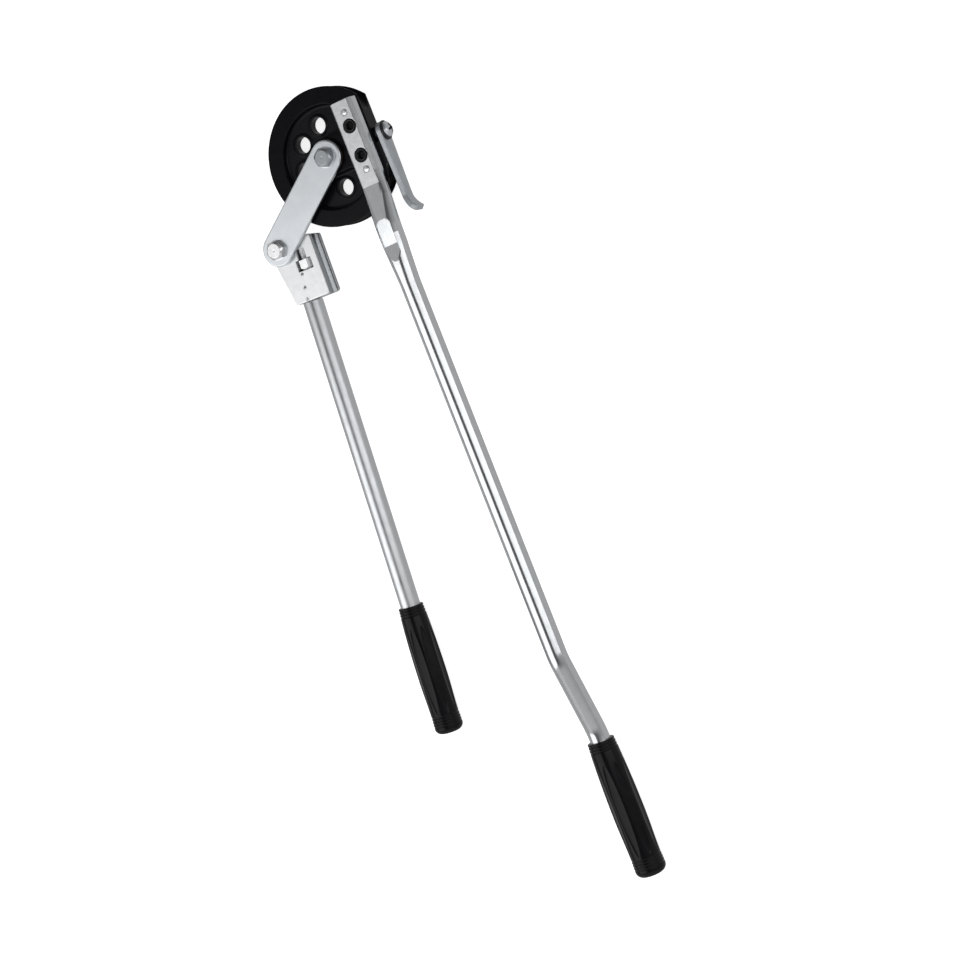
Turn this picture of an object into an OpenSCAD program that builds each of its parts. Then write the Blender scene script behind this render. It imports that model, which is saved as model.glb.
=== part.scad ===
// Hand tube bender: a grooved bend wheel on a long handle, a swinging link and a shoe on a short handle.
// Millimetres. Z is the pivot axis, the wheel's back rim lies on Z = 0 and the long handle runs to -Y.

/* [Bend wheel] */
// Radius of the bend at the tube's centre line, which is the wheel's outside radius
bend_radius = 66; // [62:1:72]
// Outside diameter of the tube that the wheel bends
tube_d = 16; // [12:0.5:16.5]
// Wheel thickness
wheel_t = 19.5; // [19:0.5:24]
// Distance of the wheel's cut flat from the pivot axis
flat_x = 51; // [50.5:0.5:53]
// Width of the full rim around the lightening recess
rim_w = 16.5; // [14:0.5:18]
// Thickness of the web between the two recesses
web_t = 8; // [6:0.5:10]
// Radius of the hub and of the bridge that joins it to the handle seat
hub_r = 18; // [16:0.5:18.5]
// Height of the hub above the near rim
hub_proud = 0.5; // [0.3:0.1:1]
// Number of places for a lightening hole around the hub
hole_places = 5; // [4:1:5]
// Which of these places stays solid, counted from 0: the one under the link at rest
solid_place = 3; // [0:1:4]
// Diameter of a lightening hole
hole_d = 15.6; // [12:0.2:16]
// Radius of the circle that the lightening holes lie on
hole_circle_r = 32; // [32:0.5:34]
// Angle of the first place
hole_start = 92; // [90:1:93]
// Angle from one place to the next
hole_step = 45.7; // [44:0.1:47]
// Width of the raised lip around a lightening hole
lip_w = 2.2; // [1.5:0.1:2.6]
// Height of that lip
lip_h = 1.2; // [0.6:0.2:2]

/* [Long handle] */
// Outside diameter of both handle tubes
handle_d = 20; // [18:0.5:21]
// Wall of both handle tubes
handle_wall = 2.5; // [1.5:0.25:3]
// Distance of the long handle's axis from the pivot axis
handle_x = 36.6; // [36.6:0.1:37]
// Thickness of the pressed tongue
tongue_t = 9; // [8.5:0.25:10]
// Top end of the tongue, measured from the pivot axis
tongue_top = 41.5; // [40:0.5:42]
// Length of the flat tongue
tongue_len = 84; // [82:1:88]
// Length of the ramp from the tongue up to the plateau
ramp_len = 37; // [32:1:42]
// Length of the plateau
plateau_len = 22; // [18:1:26]
// Height of the tube at the plateau
plateau_h = 16.5; // [14:0.5:17.5]
// How much narrower the tube is at the plateau than at the tongue
plateau_narrow = 1; // [0:0.25:2]
// Length of the slope from the plateau down to the round tube's top
step_len = 6; // [4:0.5:10]
// Length over which the tube turns round again
blend_len = 38; // [30:1:45]
// Where the handle starts to drop to the wheel's middle plane
drop_start = 512; // [440:2:520]
// Length over which it drops
drop_len = 94; // [90:2:110]
// Centre line radius of the two bends of the drop
drop_bend_r = 60; // [45:5:70]

/* [Link] */
// Distance between the link's two eyes
link_len = 104.3; // [103:0.1:107]
// Width of the link plate
link_w = 32.5; // [31:0.5:33.5]
// Thickness of the link plate
link_t = 5; // [4:0.5:6]
// Direction of the link at rest, from +X
link_angle = 215.3; // [212:0.1:218]
// Thickness of the thrust washer between the hub and the link
thrust_t = 2; // [1.5:0.25:2.5]
// Outside radius of the bronze thrust washers
thrust_r = 15.4; // [15:0.2:17]
// Shank diameter of the two pivot bolts
pivot_d = 10; // [8:1:12]
// Wall of the bronze bushes in the link's eyes
bush_wall = 1.5; // [1:0.25:2]
// Length of thread of the pivot bolts
thread_len = 14; // [12:1:15]

/* [Shoe] */
// Turn of the shoe at rest, clockwise from upright
shoe_turn = 1.95; // [0:0.05:4]
// Thickness of the shoe block
shoe_t = 22.5; // [20.5:0.5:23]
// Distance from the link pin to the grooved face
shoe_face_x = 35.5; // [35:0.5:37]
// How far the groove's centre line lies outside the grooved face
groove_out = 1.5; // [1:0.25:2]
// Height of the grooved face's top corner above the pin
shoe_top = 3.4; // [2:0.2:4]
// Distance from the pin down to the block's bottom face
shoe_bottom = 56; // [54:1:62]
// Distance of the bottom left corner from the pin line, to the left
shoe_foot_x = 4; // [3:0.5:6]
// Radius of the block around the pin
shoe_lug_r = 12.7; // [12:0.1:14]
// Rounding of the block's grooved corners
shoe_corner_r = 3; // [2:0.5:4]
// Distance of the adjusting bolt's axis from the pin line
adjuster_x = 19.5; // [19:0.25:20.5]
// Thread diameter of the adjusting bolt
adjuster_d = 9; // [7:0.5:10]
// Width across the flats of its head
adjuster_flats = 14.5; // [13:0.5:15.5]
// Height of its head
adjuster_head_h = 10; // [8:0.5:11]
// Top of the adjusting bolt's pocket, below the pin
pocket_top = 6; // [5:0.5:7]
// Bottom of the pocket, below the pin
pocket_bottom = 27; // [26:0.5:28]
// Distance of the short handle's axis from the pin line at the block's bottom
socket_x = 8.4; // [8:0.1:9]
// Lean of the short handle away from the block's own direction
handle_lean = 2.46; // [1:0.02:4]
// Diameter of the short handle's spigot in the block
spigot_d = 13; // [11:0.5:14]
// Length of that spigot
spigot_len = 22; // [18:1:23]
// Diameter of the roll pins
roll_pin_d = 3; // [2.5:0.5:3.5]
// Place of the short roll pin, to the right of the pin line and below the pin
short_pin_x = 13.4; // [12.5:0.1:14]
short_pin_drop = 29.4; // [29:0.1:31]
// Place of the roll pin through the spigot
long_pin_x = 11.4; // [8.5:0.1:12]
long_pin_drop = 42.2; // [40:0.2:46]
// Diameter of the set screw that holds the spigot
set_screw_d = 4; // [3:0.5:5]
// Place of that set screw
set_screw_x = 10.1; // [8:0.1:11]
set_screw_drop = 53.4; // [50:0.1:53.4]

/* [Grips] */
// Distance from the block's bottom to the start of the short grip
short_tube = 312; // [240:2:360]
// Length of the short grip
short_grip_len = 130; // [115:1:150]
// Largest diameter of the short grip
short_grip_d = 29.3; // [26:0.1:31]
// Length of the long grip
long_grip_len = 137; // [115:1:150]
// Largest diameter of the long grip
long_grip_d = 31.4; // [27:0.1:33]
// Number of flutes around a grip
flute_count = 8; // [6:1:12]
// Depth of a flute
flute_depth = 0.9; // [0.4:0.1:1.2]
// Thickness of the grip past the tube's end
grip_end_t = 6; // [4:0.5:9]

/* [Latch] */
// Height of the latch screw above the pivot axis
latch_y = 1.5; // [0:0.5:2]
// Gap that the spacer holds between the wheel's flat and the latch
spacer_t = 4; // [3:0.5:5]
// Thickness of the latch strip
latch_t = 5.4; // [4.6:0.2:6]
// Width of the latch at its screw
latch_w = 18.5; // [16:0.5:19]
// Width of the latch at its bent end
latch_end_w = 13; // [11:0.5:14]
// Length of the straight part of the latch below its screw
latch_len = 63; // [56:1:66]
// Radius of the bend at the latch's end
latch_bend_r = 24; // [20:1:28]
// Angle of that bend
latch_bend_a = 45; // [38:1:50]
// Straight length of the latch past that bend
latch_tip_len = 2; // [1:0.5:4]
// Thread diameter of the latch screw
latch_screw_d = 6; // [5:1:7]
// Length of the latch screw inside the wheel
latch_screw_depth = 12; // [8:1:16]
// Radius of the latch screw's head
latch_head_r = 7.5; // [6:0.25:8]
// Radius of the black washer under it
latch_washer_r = 9.4; // [8:0.2:10]

/* [Fasteners] */
// Spacing of the two socket head screws
screw_pitch = 29; // [27:0.5:31]
// Height of the upper socket head screw above the pivot axis
screw_top_y = 16.4; // [16:0.1:17]
// Depth that the socket heads are sunk into the tongue
screw_head_h = 5; // [4:0.5:5.5]
// Length of the socket head screws below the head
screw_len = 20; // [16:1:21]
// Thread diameter of the socket head screws
screw_d = 8; // [6:1:8]
// Head diameter of the socket head screws
screw_head_d = 13; // [12:0.5:13.5]
// Width of their hexagon sockets
socket_flats = 6; // [4:1:8]
// Diameter of the dowel pins
dowel_d = 6; // [5:0.5:7]
// Distance of a dowel pin from the nearer screw
dowel_gap = 13.8; // [13:0.1:15]

/* [Hidden] */
$fn = 96;
// Running clearance of a shaft in its hole, and seat clearance of a fixed piece
run_gap = 0.05;
seat_gap = 0.02;
// Overrun of a cut past the face it starts from, and free depth of a tapped hole past its screw
over = 1;
run_out = 2;
// Core diameter of a thread, as a share of its outside diameter
core_ratio = 0.85;
// The wheel
mid_z = wheel_t / 2;
groove_r = tube_d / 2;
recess_r = bend_radius - rim_w;
recess_h = (wheel_t - web_t) / 2;
hub_z = wheel_t + hub_proud;
hole_r = hole_d / 2;
// The long handle: a tube of the same girth all along, pressed flat at the tongue
handle_r = handle_d / 2;
tongue_w = PI * handle_r - (PI / 2 - 1) * tongue_t;
tongue_top_z = wheel_t + tongue_t;
seat_margin = 2;
seat_left = handle_x - tongue_w / 2 - seat_margin;
handle_z = wheel_t + handle_r;
ramp_y = tongue_top - tongue_len;
plateau_y = ramp_y - ramp_len;
blend_y = plateau_y - plateau_len;
step_y = blend_y - step_len;
round_y = blend_y - blend_len;
drop_h = handle_z - mid_z;
drop_a = atan2(drop_len, 2 * drop_bend_r - drop_h)
    - acos(2 * drop_bend_r / norm([drop_len, 2 * drop_bend_r - drop_h]));
drop_straight = (drop_len - 2 * drop_bend_r * sin(drop_a)) / cos(drop_a);
low_y = drop_start + drop_len;
grip_lead = 2;
// Overlap that joins two stretches of the handle, and the inset of the inner one there
seam = 1;
seam_inset = 0.05;
// The fasteners in the tongue
tongue_mid_y = screw_top_y - screw_pitch / 2;
dowel_y = screw_pitch / 2 + dowel_gap;
dowel_r = dowel_d / 2;
dowel_len = tongue_t + 11;
head_room = 0.3;
head_proud = 0.2;
edge_break = 0.6;
// The link and its bolts
link_z = hub_z + thrust_t;
link_top = link_z + link_t;
pivot_r = pivot_d / 2;
bush_r = pivot_r + run_gap + bush_wall;
bolt_flats = 1.7 * pivot_d;
bolt_head_h = 0.64 * pivot_d;
bolt_washer_t = 0.8;
bolt_washer_w = 5;
bolt_z = link_top + bolt_washer_t;
pin_x = link_len * cos(link_angle);
pin_y = link_len * sin(link_angle);
// The shoe
shoe_low = mid_z - shoe_t / 2;
shoe_high = mid_z + shoe_t / 2;
adjuster_room = 0.3;
adjuster_sunk = 0.5;
adjuster_turn = 8;
adjuster_corner_r = adjuster_flats / 2 / cos(30);
adjuster_head_room = 0.15;
adjuster_thread = 7;
adjuster_z = shoe_high - adjuster_flats / 2 - adjuster_sunk;
adjuster_head_y = pocket_bottom - adjuster_room - adjuster_head_h;
spigot_r = spigot_d / 2;
shoulder = handle_r * tan(handle_lean) + seat_gap;
set_screw_sunk = 0.3;
// The latch
spacer_x = flat_x + spacer_t;
latch_out = spacer_x + latch_t;
latch_side_gap = 0.1;
latch_r = latch_w / 2;
latch_screw_r = latch_screw_d / 2;
latch_bush_r = latch_screw_r + 1.5;
spacer_r = latch_bush_r + 2.5;
latch_washer_t = 1.8;
latch_washer_x = latch_out + latch_side_gap;
latch_head_x = latch_washer_x + latch_washer_t;
latch_head_h = 5.5;
latch_head_edge = 1.4;
cross_len = 8.4;
cross_w = 1.9;
cross_h = 2.8;
tab_r = latch_end_w / 2 + 1.7;
// The rounded corners of the latch's end, and the length by which the plan runs past the strip there
tab_corner_r = 2.5;
tab_past = 0.3;
tab_drop = latch_len + latch_bend_r * sin(latch_bend_a) + latch_tip_len * cos(latch_bend_a);
// The grips: collar and waist narrower than the belly, fine rings at both ends, a dome at the bottom
neck_ratio = 0.15;
waist_ratio = 0.055;
flare_ratio = 0.03;
belly_t = 0.55;
waist_t = 0.86;
flare_t = 0.93;
ring_depth = 0.5;
ring_pitch = 3;
ring_w = 0.7;
dome_ratio = 0.42;
grip_bore_r = handle_r + seat_gap;
tube_bore_r = handle_r - handle_wall;
plug_len = 16;
plug_r = tube_bore_r - seat_gap;
bottom_wall = 8;
short_tube_end = short_tube + short_grip_len - grip_end_t;
long_tube_end = long_grip_len - grip_end_t;

// Places the children in the shoe's frame: the pin on the Z axis and the grooved face on the right
module in_shoe() {
    translate([pin_x, pin_y, 0])
        rotate([0, 0, -shoe_turn])
            children();
}

// Places the children on the short handle's axis, with its direction along +Z and the block's bottom at 0
module on_short_handle() {
    in_shoe()
        translate([socket_x, -shoe_bottom, mid_z])
            rotate([90, 0, -handle_lean])
                children();
}

// A cylinder from z0 to z1
module post(r, z0, z1) {
    translate([0, 0, z0])
        cylinder(r = r, h = z1 - z0);
}

// A ring from z0 to z1
module ring(r_out, r_in, z0, z1) {
    difference() {
        post(r_out, z0, z1);
        post(r_in, z0 - over, z1 + over);
    }
}

// A hexagonal prism whose upper corners are turned to a chamfer
module hex_head(flats, h) {
    chamfer = 0.1 * flats;
    corner_r = flats / cos(30) / 2;
    intersection() {
        cylinder(r = corner_r, h = h, $fn = 6);
        union() {
            cylinder(r = flats, h = h - chamfer);
            translate([0, 0, h - chamfer])
                cylinder(r1 = corner_r + run_gap, r2 = corner_r - chamfer, h = chamfer);
        }
    }
}

// The plan of a recess in the wheel: the inside of the rim without the hub, its bridge and the handle's seat
module recess_plan() {
    difference() {
        circle(r = recess_r);
        circle(r = hub_r);
        translate([0, -hub_r])
            square([recess_r + over, 2 * hub_r]);
        translate([seat_left, -recess_r])
            square([recess_r, 2 * recess_r]);
    }
}

module at_each_hole() {
    for (i = [0:hole_places - 1])
        if (i != solid_place)
            rotate([0, 0, hole_start + i * hole_step])
                translate([hole_circle_r, 0, 0])
                    children();
}

module at_tongue_screws(z) {
    for (side = [-1, 1])
        translate([handle_x, tongue_mid_y + side * screw_pitch / 2, z])
            children();
}

module at_tongue_dowels() {
    for (side = [-1, 1])
        translate([handle_x, tongue_mid_y + side * dowel_y, 0])
            children();
}

// A tapped hole, bored to the core of its thread
module tapped_hole(d, depth) {
    post(core_ratio * d / 2 + seat_gap, -depth, over);
}

module bend_wheel() {
    color([0.07, 0.07, 0.08])
        difference() {
            union() {
                difference() {
                    cylinder(r = bend_radius, h = wheel_t, $fn = 180);
                    translate([0, 0, wheel_t - recess_h])
                        linear_extrude(height = recess_h + over)
                            recess_plan();
                    translate([0, 0, -over])
                        linear_extrude(height = recess_h + over)
                            recess_plan();
                    rotate_extrude($fn = 180)
                        translate([bend_radius, mid_z])
                            circle(r = groove_r, $fn = 48);
                }
                at_each_hole()
                    post(hole_r + lip_w, recess_h - lip_h, wheel_t - recess_h + lip_h);
                post(hub_r, mid_z, hub_z);
            }
            at_each_hole()
                post(hole_r, -over, wheel_t + over);
            translate([flat_x, -bend_radius, -over])
                cube([bend_radius, 2 * bend_radius, wheel_t + 2 * over]);
            translate([0, 0, hub_z])
                tapped_hole(pivot_d, thread_len + run_out);
            at_tongue_screws(wheel_t)
                tapped_hole(screw_d, screw_len + screw_head_h - tongue_t + over);
            at_tongue_dowels()
                post(dowel_r + seat_gap, tongue_top_z - dowel_len - head_room, wheel_t + over);
            on_flat(flat_x)
                tapped_hole(latch_screw_d, latch_screw_depth + over);
        }
}

module wheel_thrust_washer() {
    color([0.66, 0.48, 0.26])
        ring(thrust_r, pivot_r + run_gap, hub_z, link_z);
}

// A hexagon bolt with a full shank under its head and a thinner threaded end. Z = 0 is under the head
module pivot_fastener(shank) {
    hex_head(bolt_flats, bolt_head_h);
    post(pivot_r, -shank, 0);
    post(core_ratio * pivot_r, -shank - thread_len, -shank);
}

// The thin washer under a pivot bolt's head
module bolt_washer() {
    ring(pivot_r + bolt_washer_w, pivot_r + run_gap, link_top, bolt_z);
}

module pivot_bolt() {
    color([0.62, 0.63, 0.62])
        in_link()
            translate([0, 0, bolt_z])
                pivot_fastener(bolt_z - hub_z);
}

module pivot_washer() {
    color([0.7, 0.71, 0.72])
        bolt_washer();
}

module in_link() {
    rotate([0, 0, link_angle])
        children();
}

module link_plate() {
    color([0.78, 0.8, 0.83])
        in_link()
            difference() {
                union() {
                    post(link_w / 2, link_z, link_top);
                    translate([link_len, 0, 0])
                        post(link_w / 2, link_z, link_top);
                    translate([0, -link_w / 2, link_z])
                        cube([link_len, link_w, link_t]);
                }
                post(bush_r + seat_gap, link_z - over, link_top + over);
                translate([link_len, 0, 0])
                    post(bush_r + seat_gap, link_z - over, link_top + over);
            }
}

module link_bush() {
    ring(bush_r, pivot_r + run_gap, link_z, link_top);
}

module upper_bush() {
    color([0.66, 0.48, 0.26])
        link_bush();
}

module lower_bush() {
    color([0.66, 0.48, 0.26])
        in_link()
            translate([link_len, 0, 0])
                link_bush();
}

module link_pin_bolt() {
    color([0.84, 0.85, 0.86])
        in_shoe()
            translate([0, 0, bolt_z])
                pivot_fastener(bolt_z - shoe_high);
}

module link_pin_washer() {
    color([0.7, 0.71, 0.72])
        in_shoe()
            bolt_washer();
}

module pin_thrust_washer() {
    color([0.66, 0.48, 0.26])
        in_shoe()
            ring(shoe_lug_r, pivot_r + run_gap, shoe_high, link_z);
}

// The shoe's outline: a lug around the pin, a tapered body and a straight grooved face
module shoe_plan() {
    hull() {
        circle(r = shoe_lug_r);
        translate([shoe_face_x - shoe_corner_r / 2, shoe_top - shoe_corner_r / 2])
            circle(r = shoe_corner_r / 2, $fn = 32);
        translate([shoe_face_x - shoe_corner_r, shoe_corner_r - shoe_bottom])
            circle(r = shoe_corner_r, $fn = 32);
        translate([-shoe_foot_x, -shoe_bottom])
            square(1);
    }
}

module shoe_block() {
    color([0.83, 0.84, 0.85])
        difference() {
            in_shoe()
                difference() {
                    translate([0, 0, shoe_low])
                        linear_extrude(height = shoe_t)
                            shoe_plan();
                    translate([shoe_face_x + groove_out, shoe_lug_r + over, mid_z])
                        rotate([90, 0, 0])
                            cylinder(r = groove_r, h = shoe_bottom + shoe_lug_r + 2 * over);
                    translate([0, 0, shoe_high])
                        tapped_hole(pivot_d, thread_len + run_out);
                    adjuster_pocket();
                    roll_pins(roll_pin_d / 2 + seat_gap, over);
                    translate([set_screw_x, -set_screw_drop, mid_z])
                        post(set_screw_d / 2 + seat_gap, 0, shoe_t);
                }
            on_short_handle()
                post(spigot_r + seat_gap, -spigot_len - adjuster_room, over);
        }
}

// A box centred on the adjusting bolt, from a depth below the pin up to another and open to the near face
module adjuster_slot(half_w, top, bottom) {
    translate([adjuster_x - half_w, -bottom, adjuster_z - half_w])
        cube([2 * half_w, bottom - top, shoe_t]);
}

// The notch in the near face that the adjusting bolt lies in, with its tapped hole towards the pin
module adjuster_pocket() {
    adjuster_slot(adjuster_corner_r + adjuster_head_room, adjuster_head_y - adjuster_room, pocket_bottom);
    adjuster_slot(adjuster_d / 2 + adjuster_room, pocket_top, pocket_bottom);
    translate([adjuster_x, -pocket_top, adjuster_z])
        rotate([90, 0, 0])
            tapped_hole(adjuster_d, adjuster_thread + over);
}

module adjusting_bolt() {
    color([0.9, 0.9, 0.91])
        in_shoe()
            translate([adjuster_x, -adjuster_head_y, adjuster_z])
                rotate([90, adjuster_turn, 0]) {
                    hex_head(adjuster_flats, adjuster_head_h);
                    post(adjuster_d / 2, pocket_top - adjuster_head_y + adjuster_room, 0);
                    post(core_ratio * adjuster_d / 2, pocket_top - adjuster_head_y - adjuster_thread, 0);
                }
}

// The two roll pins: a short one beside the adjusting bolt's pocket, a long one through the spigot
module roll_pins(r, extra) {
    translate([short_pin_x, -short_pin_drop, 0])
        post(r, mid_z, shoe_high + extra);
    translate([long_pin_x, -long_pin_drop, 0])
        post(r, shoe_low - extra, shoe_high + extra);
}

module shoe_roll_pins() {
    color([0.4, 0.41, 0.42])
        in_shoe()
            difference() {
                roll_pins(roll_pin_d / 2, 0);
                roll_pins(roll_pin_d / 4, over);
            }
}

// The set screw above the spigot, driven in from the near face
module handle_set_screw() {
    screw_r = set_screw_d / 2;
    color([0.55, 0.56, 0.57])
        in_shoe()
            translate([set_screw_x, -set_screw_drop, 0])
                difference() {
                    post(screw_r, mid_z + spigot_r + adjuster_room, shoe_high - set_screw_sunk);
                    translate([0, 0, shoe_high - screw_r])
                        cylinder(r = screw_r / 2 / cos(30), h = set_screw_d, $fn = 6);
                }
}

module short_handle() {
    color([0.76, 0.77, 0.79])
        difference() {
            on_short_handle()
                union() {
                    post(handle_r, shoulder, short_tube_end);
                    post(spigot_r, -spigot_len, bottom_wall);
                }
            on_short_handle()
                post(tube_bore_r, bottom_wall, short_tube_end + over);
            in_shoe()
                roll_pins(roll_pin_d / 2 + seat_gap, over);
        }
}

// Radius of a grip at t, from 0 at its collar to 1 at its end
function grip_radius(t, r_max) =
    t < belly_t ? r_max * (1 - neck_ratio * pow(1 - t / belly_t, 2))
    : t < waist_t ? r_max * (1 - waist_ratio * pow(sin(90 * (t - belly_t) / (waist_t - belly_t)), 2))
    : r_max * (1 - waist_ratio + flare_ratio * sin(90 * min(1, (t - waist_t) / (flare_t - waist_t))));

// The points of count ring grooves from y0 on
function ring_grooves(y0, count, len, r_max) =
    [for (i = [0:count - 1], s = [0:2])
        let (y = y0 + i * ring_pitch + s * ring_w)
        [grip_radius(y / len, r_max) - (s == 1 ? ring_depth : 0), y]];

// A grip's outline from its axis, along +Y: collar, three rings, belly, four rings and a dome
function grip_outline(len, r_max) =
    let (
        end_r = r_max * (1 - waist_ratio + flare_ratio),
        dome = dome_ratio * r_max,
        collar = 2,
        belly_y = collar + 3 * ring_pitch,
        rings_y = len - dome - 4 * ring_pitch,
        steps = 17)
    concat(
        [[0, 0], [grip_radius(0, r_max) - collar / 2, 0]],
        ring_grooves(collar, 3, len, r_max),
        [for (i = [0:steps])
            let (y = belly_y + (rings_y - ring_pitch - belly_y) * i / steps)
            [grip_radius(y / len, r_max), y]],
        ring_grooves(rings_y, 4, len, r_max),
        [for (a = [0:10:90]) [end_r - dome + dome * cos(a), len - dome + dome * sin(a)]],
        [[0, len]]);

// A grip along +Z with its collar at 0, bored for the tube, with long shallow flutes around it
module grip(len, r_max) {
    flute_half = 0.32 * len;
    flute_r = (pow(flute_half, 2) + pow(flute_depth, 2)) / 2 / flute_depth;
    flute_w = 0.55 * r_max;
    difference() {
        rotate_extrude()
            polygon(grip_outline(len, r_max));
        post(grip_bore_r, -over, len - grip_end_t + seat_gap);
        for (i = [0:flute_count - 1])
            rotate([0, 0, (i + 0.5) * 360 / flute_count])
                translate([r_max - flute_depth + flute_r, 0, len / 2])
                    rotate([90, 0, 0])
                        cylinder(r = flute_r, h = flute_w, center = true, $fn = 256);
    }
}

module short_grip() {
    color([0.05, 0.05, 0.055])
        on_short_handle()
            translate([0, 0, short_tube])
                grip(short_grip_len, short_grip_d / 2);
}

module short_end_plug() {
    color([0.12, 0.12, 0.13])
        on_short_handle()
            post(plug_r, short_tube_end - plug_len, short_tube_end);
}

// Places the children on the long handle's lower straight, with its direction along +Z and the collar at 0
module on_long_grip() {
    translate([handle_x, -low_y - grip_lead, mid_z])
        rotate([90, 0, 0])
            children();
}

// The round part of the long handle's run, of radius r, from y = -start to past the lower bend
module handle_run(r, start, past) {
    bend_end_y = drop_start + drop_bend_r * sin(drop_a);
    bend_end_z = handle_z - drop_bend_r * (1 - cos(drop_a));
    translate([handle_x, -start, handle_z])
        rotate([90, 0, 0])
            cylinder(r = r, h = drop_start - start);
    translate([handle_x, -drop_start, handle_z - drop_bend_r])
        rotate([0, -90, 180])
            drop_bend(r);
    translate([handle_x, -bend_end_y, bend_end_z])
        rotate([90 + drop_a, 0, 0])
            cylinder(r = r, h = drop_straight);
    translate([handle_x, -low_y, mid_z + drop_bend_r])
        rotate([0, 90, 0])
            drop_bend(r);
    translate([handle_x, -low_y, mid_z])
        rotate([90, 0, 0])
            cylinder(r = r, h = past);
}

// A bend of the tube, of radius drop_bend_r at its centre line, that reaches a little into both straights
module drop_bend(r) {
    past_a = atan(seam / drop_bend_r);
    rotate([0, 0, -past_a])
        rotate_extrude(angle = drop_a + 2 * past_a, $fn = 96)
            translate([drop_bend_r, 0])
                circle(r = r - seam_inset, $fn = 64);
}

// The discs whose hull is one cross-section of the pressed tube: width w, height h and a flat f wide on top
module section(y, w, h, f, lift = 0) {
    corner = (w - f) / 2;
    side_r = min(h, w) / 2;
    slice = 0.02;
    translate([handle_x, y, wheel_t + lift])
        rotate([90, 0, 0])
            for (side = [-1, 1]) {
                translate([side * (w / 2 - side_r), side_r, 0])
                    cylinder(r = side_r, h = slice, $fn = 32);
                translate([side * f / 2, h - corner, 0])
                    cylinder(r = corner, h = slice, $fn = 32);
            }
}

// The sections of the pressed part. The first lies inside the tongue and the last inside the round tube
module section_at(i) {
    flat_w = tongue_w - tongue_t;
    plateau_flat = flat_w - 1.7;
    inner_d = handle_d - 2 * seam_inset;
    if (i == 0) section(ramp_y + seam, tongue_w, tongue_t, flat_w);
    if (i == 1) section(plateau_y, tongue_w - plateau_narrow, plateau_h, plateau_flat);
    if (i == 2) section(blend_y, tongue_w - 1.8 * plateau_narrow, plateau_h, plateau_flat);
    if (i == 3) section(step_y, tongue_w - 3.6 * plateau_narrow, handle_d - 1.2, flat_w / 2);
    if (i == 4) section(round_y - seam, inner_d, inner_d, 0, seam_inset);
}

// The pressed part between the flat tongue and the round tube: ramp, plateau, step and blend
module pressed_run() {
    for (i = [0:3])
        hull() {
            section_at(i);
            section_at(i + 1);
        }
}

module tongue_plan() {
    for (side = [-1, 1])
        translate([side * (tongue_w - tongue_t) / 2, tongue_t / 2])
            circle(r = tongue_t / 2);
    translate([-(tongue_w - tongue_t) / 2, 0])
        square([tongue_w - tongue_t, tongue_t]);
}

module long_handle() {
    color([0.76, 0.77, 0.79])
        difference() {
            union() {
                translate([handle_x, tongue_top, wheel_t])
                    rotate([90, 0, 0])
                        linear_extrude(height = tongue_len)
                            tongue_plan();
                pressed_run();
                handle_run(handle_r, -round_y, grip_lead + long_tube_end);
            }
            handle_run(tube_bore_r, bottom_wall - round_y, grip_lead + long_tube_end + over);
            at_tongue_screws(tongue_top_z)
                post(screw_d / 2 + head_room, -tongue_t - over, over);
            at_tongue_screws(tongue_top_z)
                post(screw_head_d / 2 + head_room, -screw_head_h, over);
            at_tongue_dowels()
                post(dowel_r + seat_gap, wheel_t - over, tongue_top_z + over);
        }
}

module long_grip() {
    color([0.05, 0.05, 0.055])
        on_long_grip()
            grip(long_grip_len, long_grip_d / 2);
}

module long_end_plug() {
    color([0.12, 0.12, 0.13])
        on_long_grip()
            post(plug_r, long_tube_end - plug_len, long_tube_end);
}

// The socket head screws, with their heads sunk into the tongue
module tongue_screws() {
    head_r = screw_head_d / 2;
    edge_z = head_proud - edge_break;
    color([0.08, 0.08, 0.09])
        at_tongue_screws(tongue_top_z)
            difference() {
                union() {
                    post(head_r, -screw_head_h, edge_z);
                    translate([0, 0, edge_z])
                        cylinder(r1 = head_r, r2 = head_r - edge_break, h = edge_break);
                    post(core_ratio * screw_d / 2, -screw_head_h - screw_len, 0);
                }
                translate([0, 0, head_proud - screw_d / 2])
                    cylinder(r = socket_flats / 2 / cos(30), h = screw_d, $fn = 6);
            }
}

module tongue_dowels() {
    color([0.86, 0.87, 0.88])
        at_tongue_dowels()
            post(dowel_r, tongue_top_z - dowel_len, tongue_top_z);
}

// Places the children on the latch screw's axis, with +Z out of the wheel's flat and +X along -Z
module on_flat(x) {
    translate([x, latch_y, mid_z])
        rotate([0, 90, 0])
            children();
}

module latch_spacer() {
    color([0.2, 0.2, 0.21])
        on_flat(flat_x)
            ring(spacer_r, latch_bush_r + seat_gap, 0, spacer_t);
}

module latch_bush() {
    color([0.66, 0.48, 0.26])
        on_flat(flat_x)
            ring(latch_bush_r, latch_screw_r + seat_gap, 0, latch_washer_x - flat_x);
}

// A point of the latch's bent end: at angle a of the bend, at radius r from its centre, and a length past it
function latch_point(a, r, past = 0) =
    [latch_bend_r - r * cos(a) + past * sin(a), -latch_len - r * sin(a) - past * cos(a)];

// The latch's side: straight, bent outward and straight again. X is the distance from its inner face
module latch_side() {
    inner_r = latch_bend_r - latch_t;
    polygon(concat(
        [[0, latch_r + over]],
        [for (i = [0:12]) latch_point(i * latch_bend_a / 12, latch_bend_r)],
        [latch_point(latch_bend_a, latch_bend_r, latch_tip_len)],
        [latch_point(latch_bend_a, inner_r, latch_tip_len)],
        [for (i = [12:-1:0]) latch_point(i * latch_bend_a / 12, inner_r)],
        [[latch_t, latch_r + over]]));
}

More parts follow.
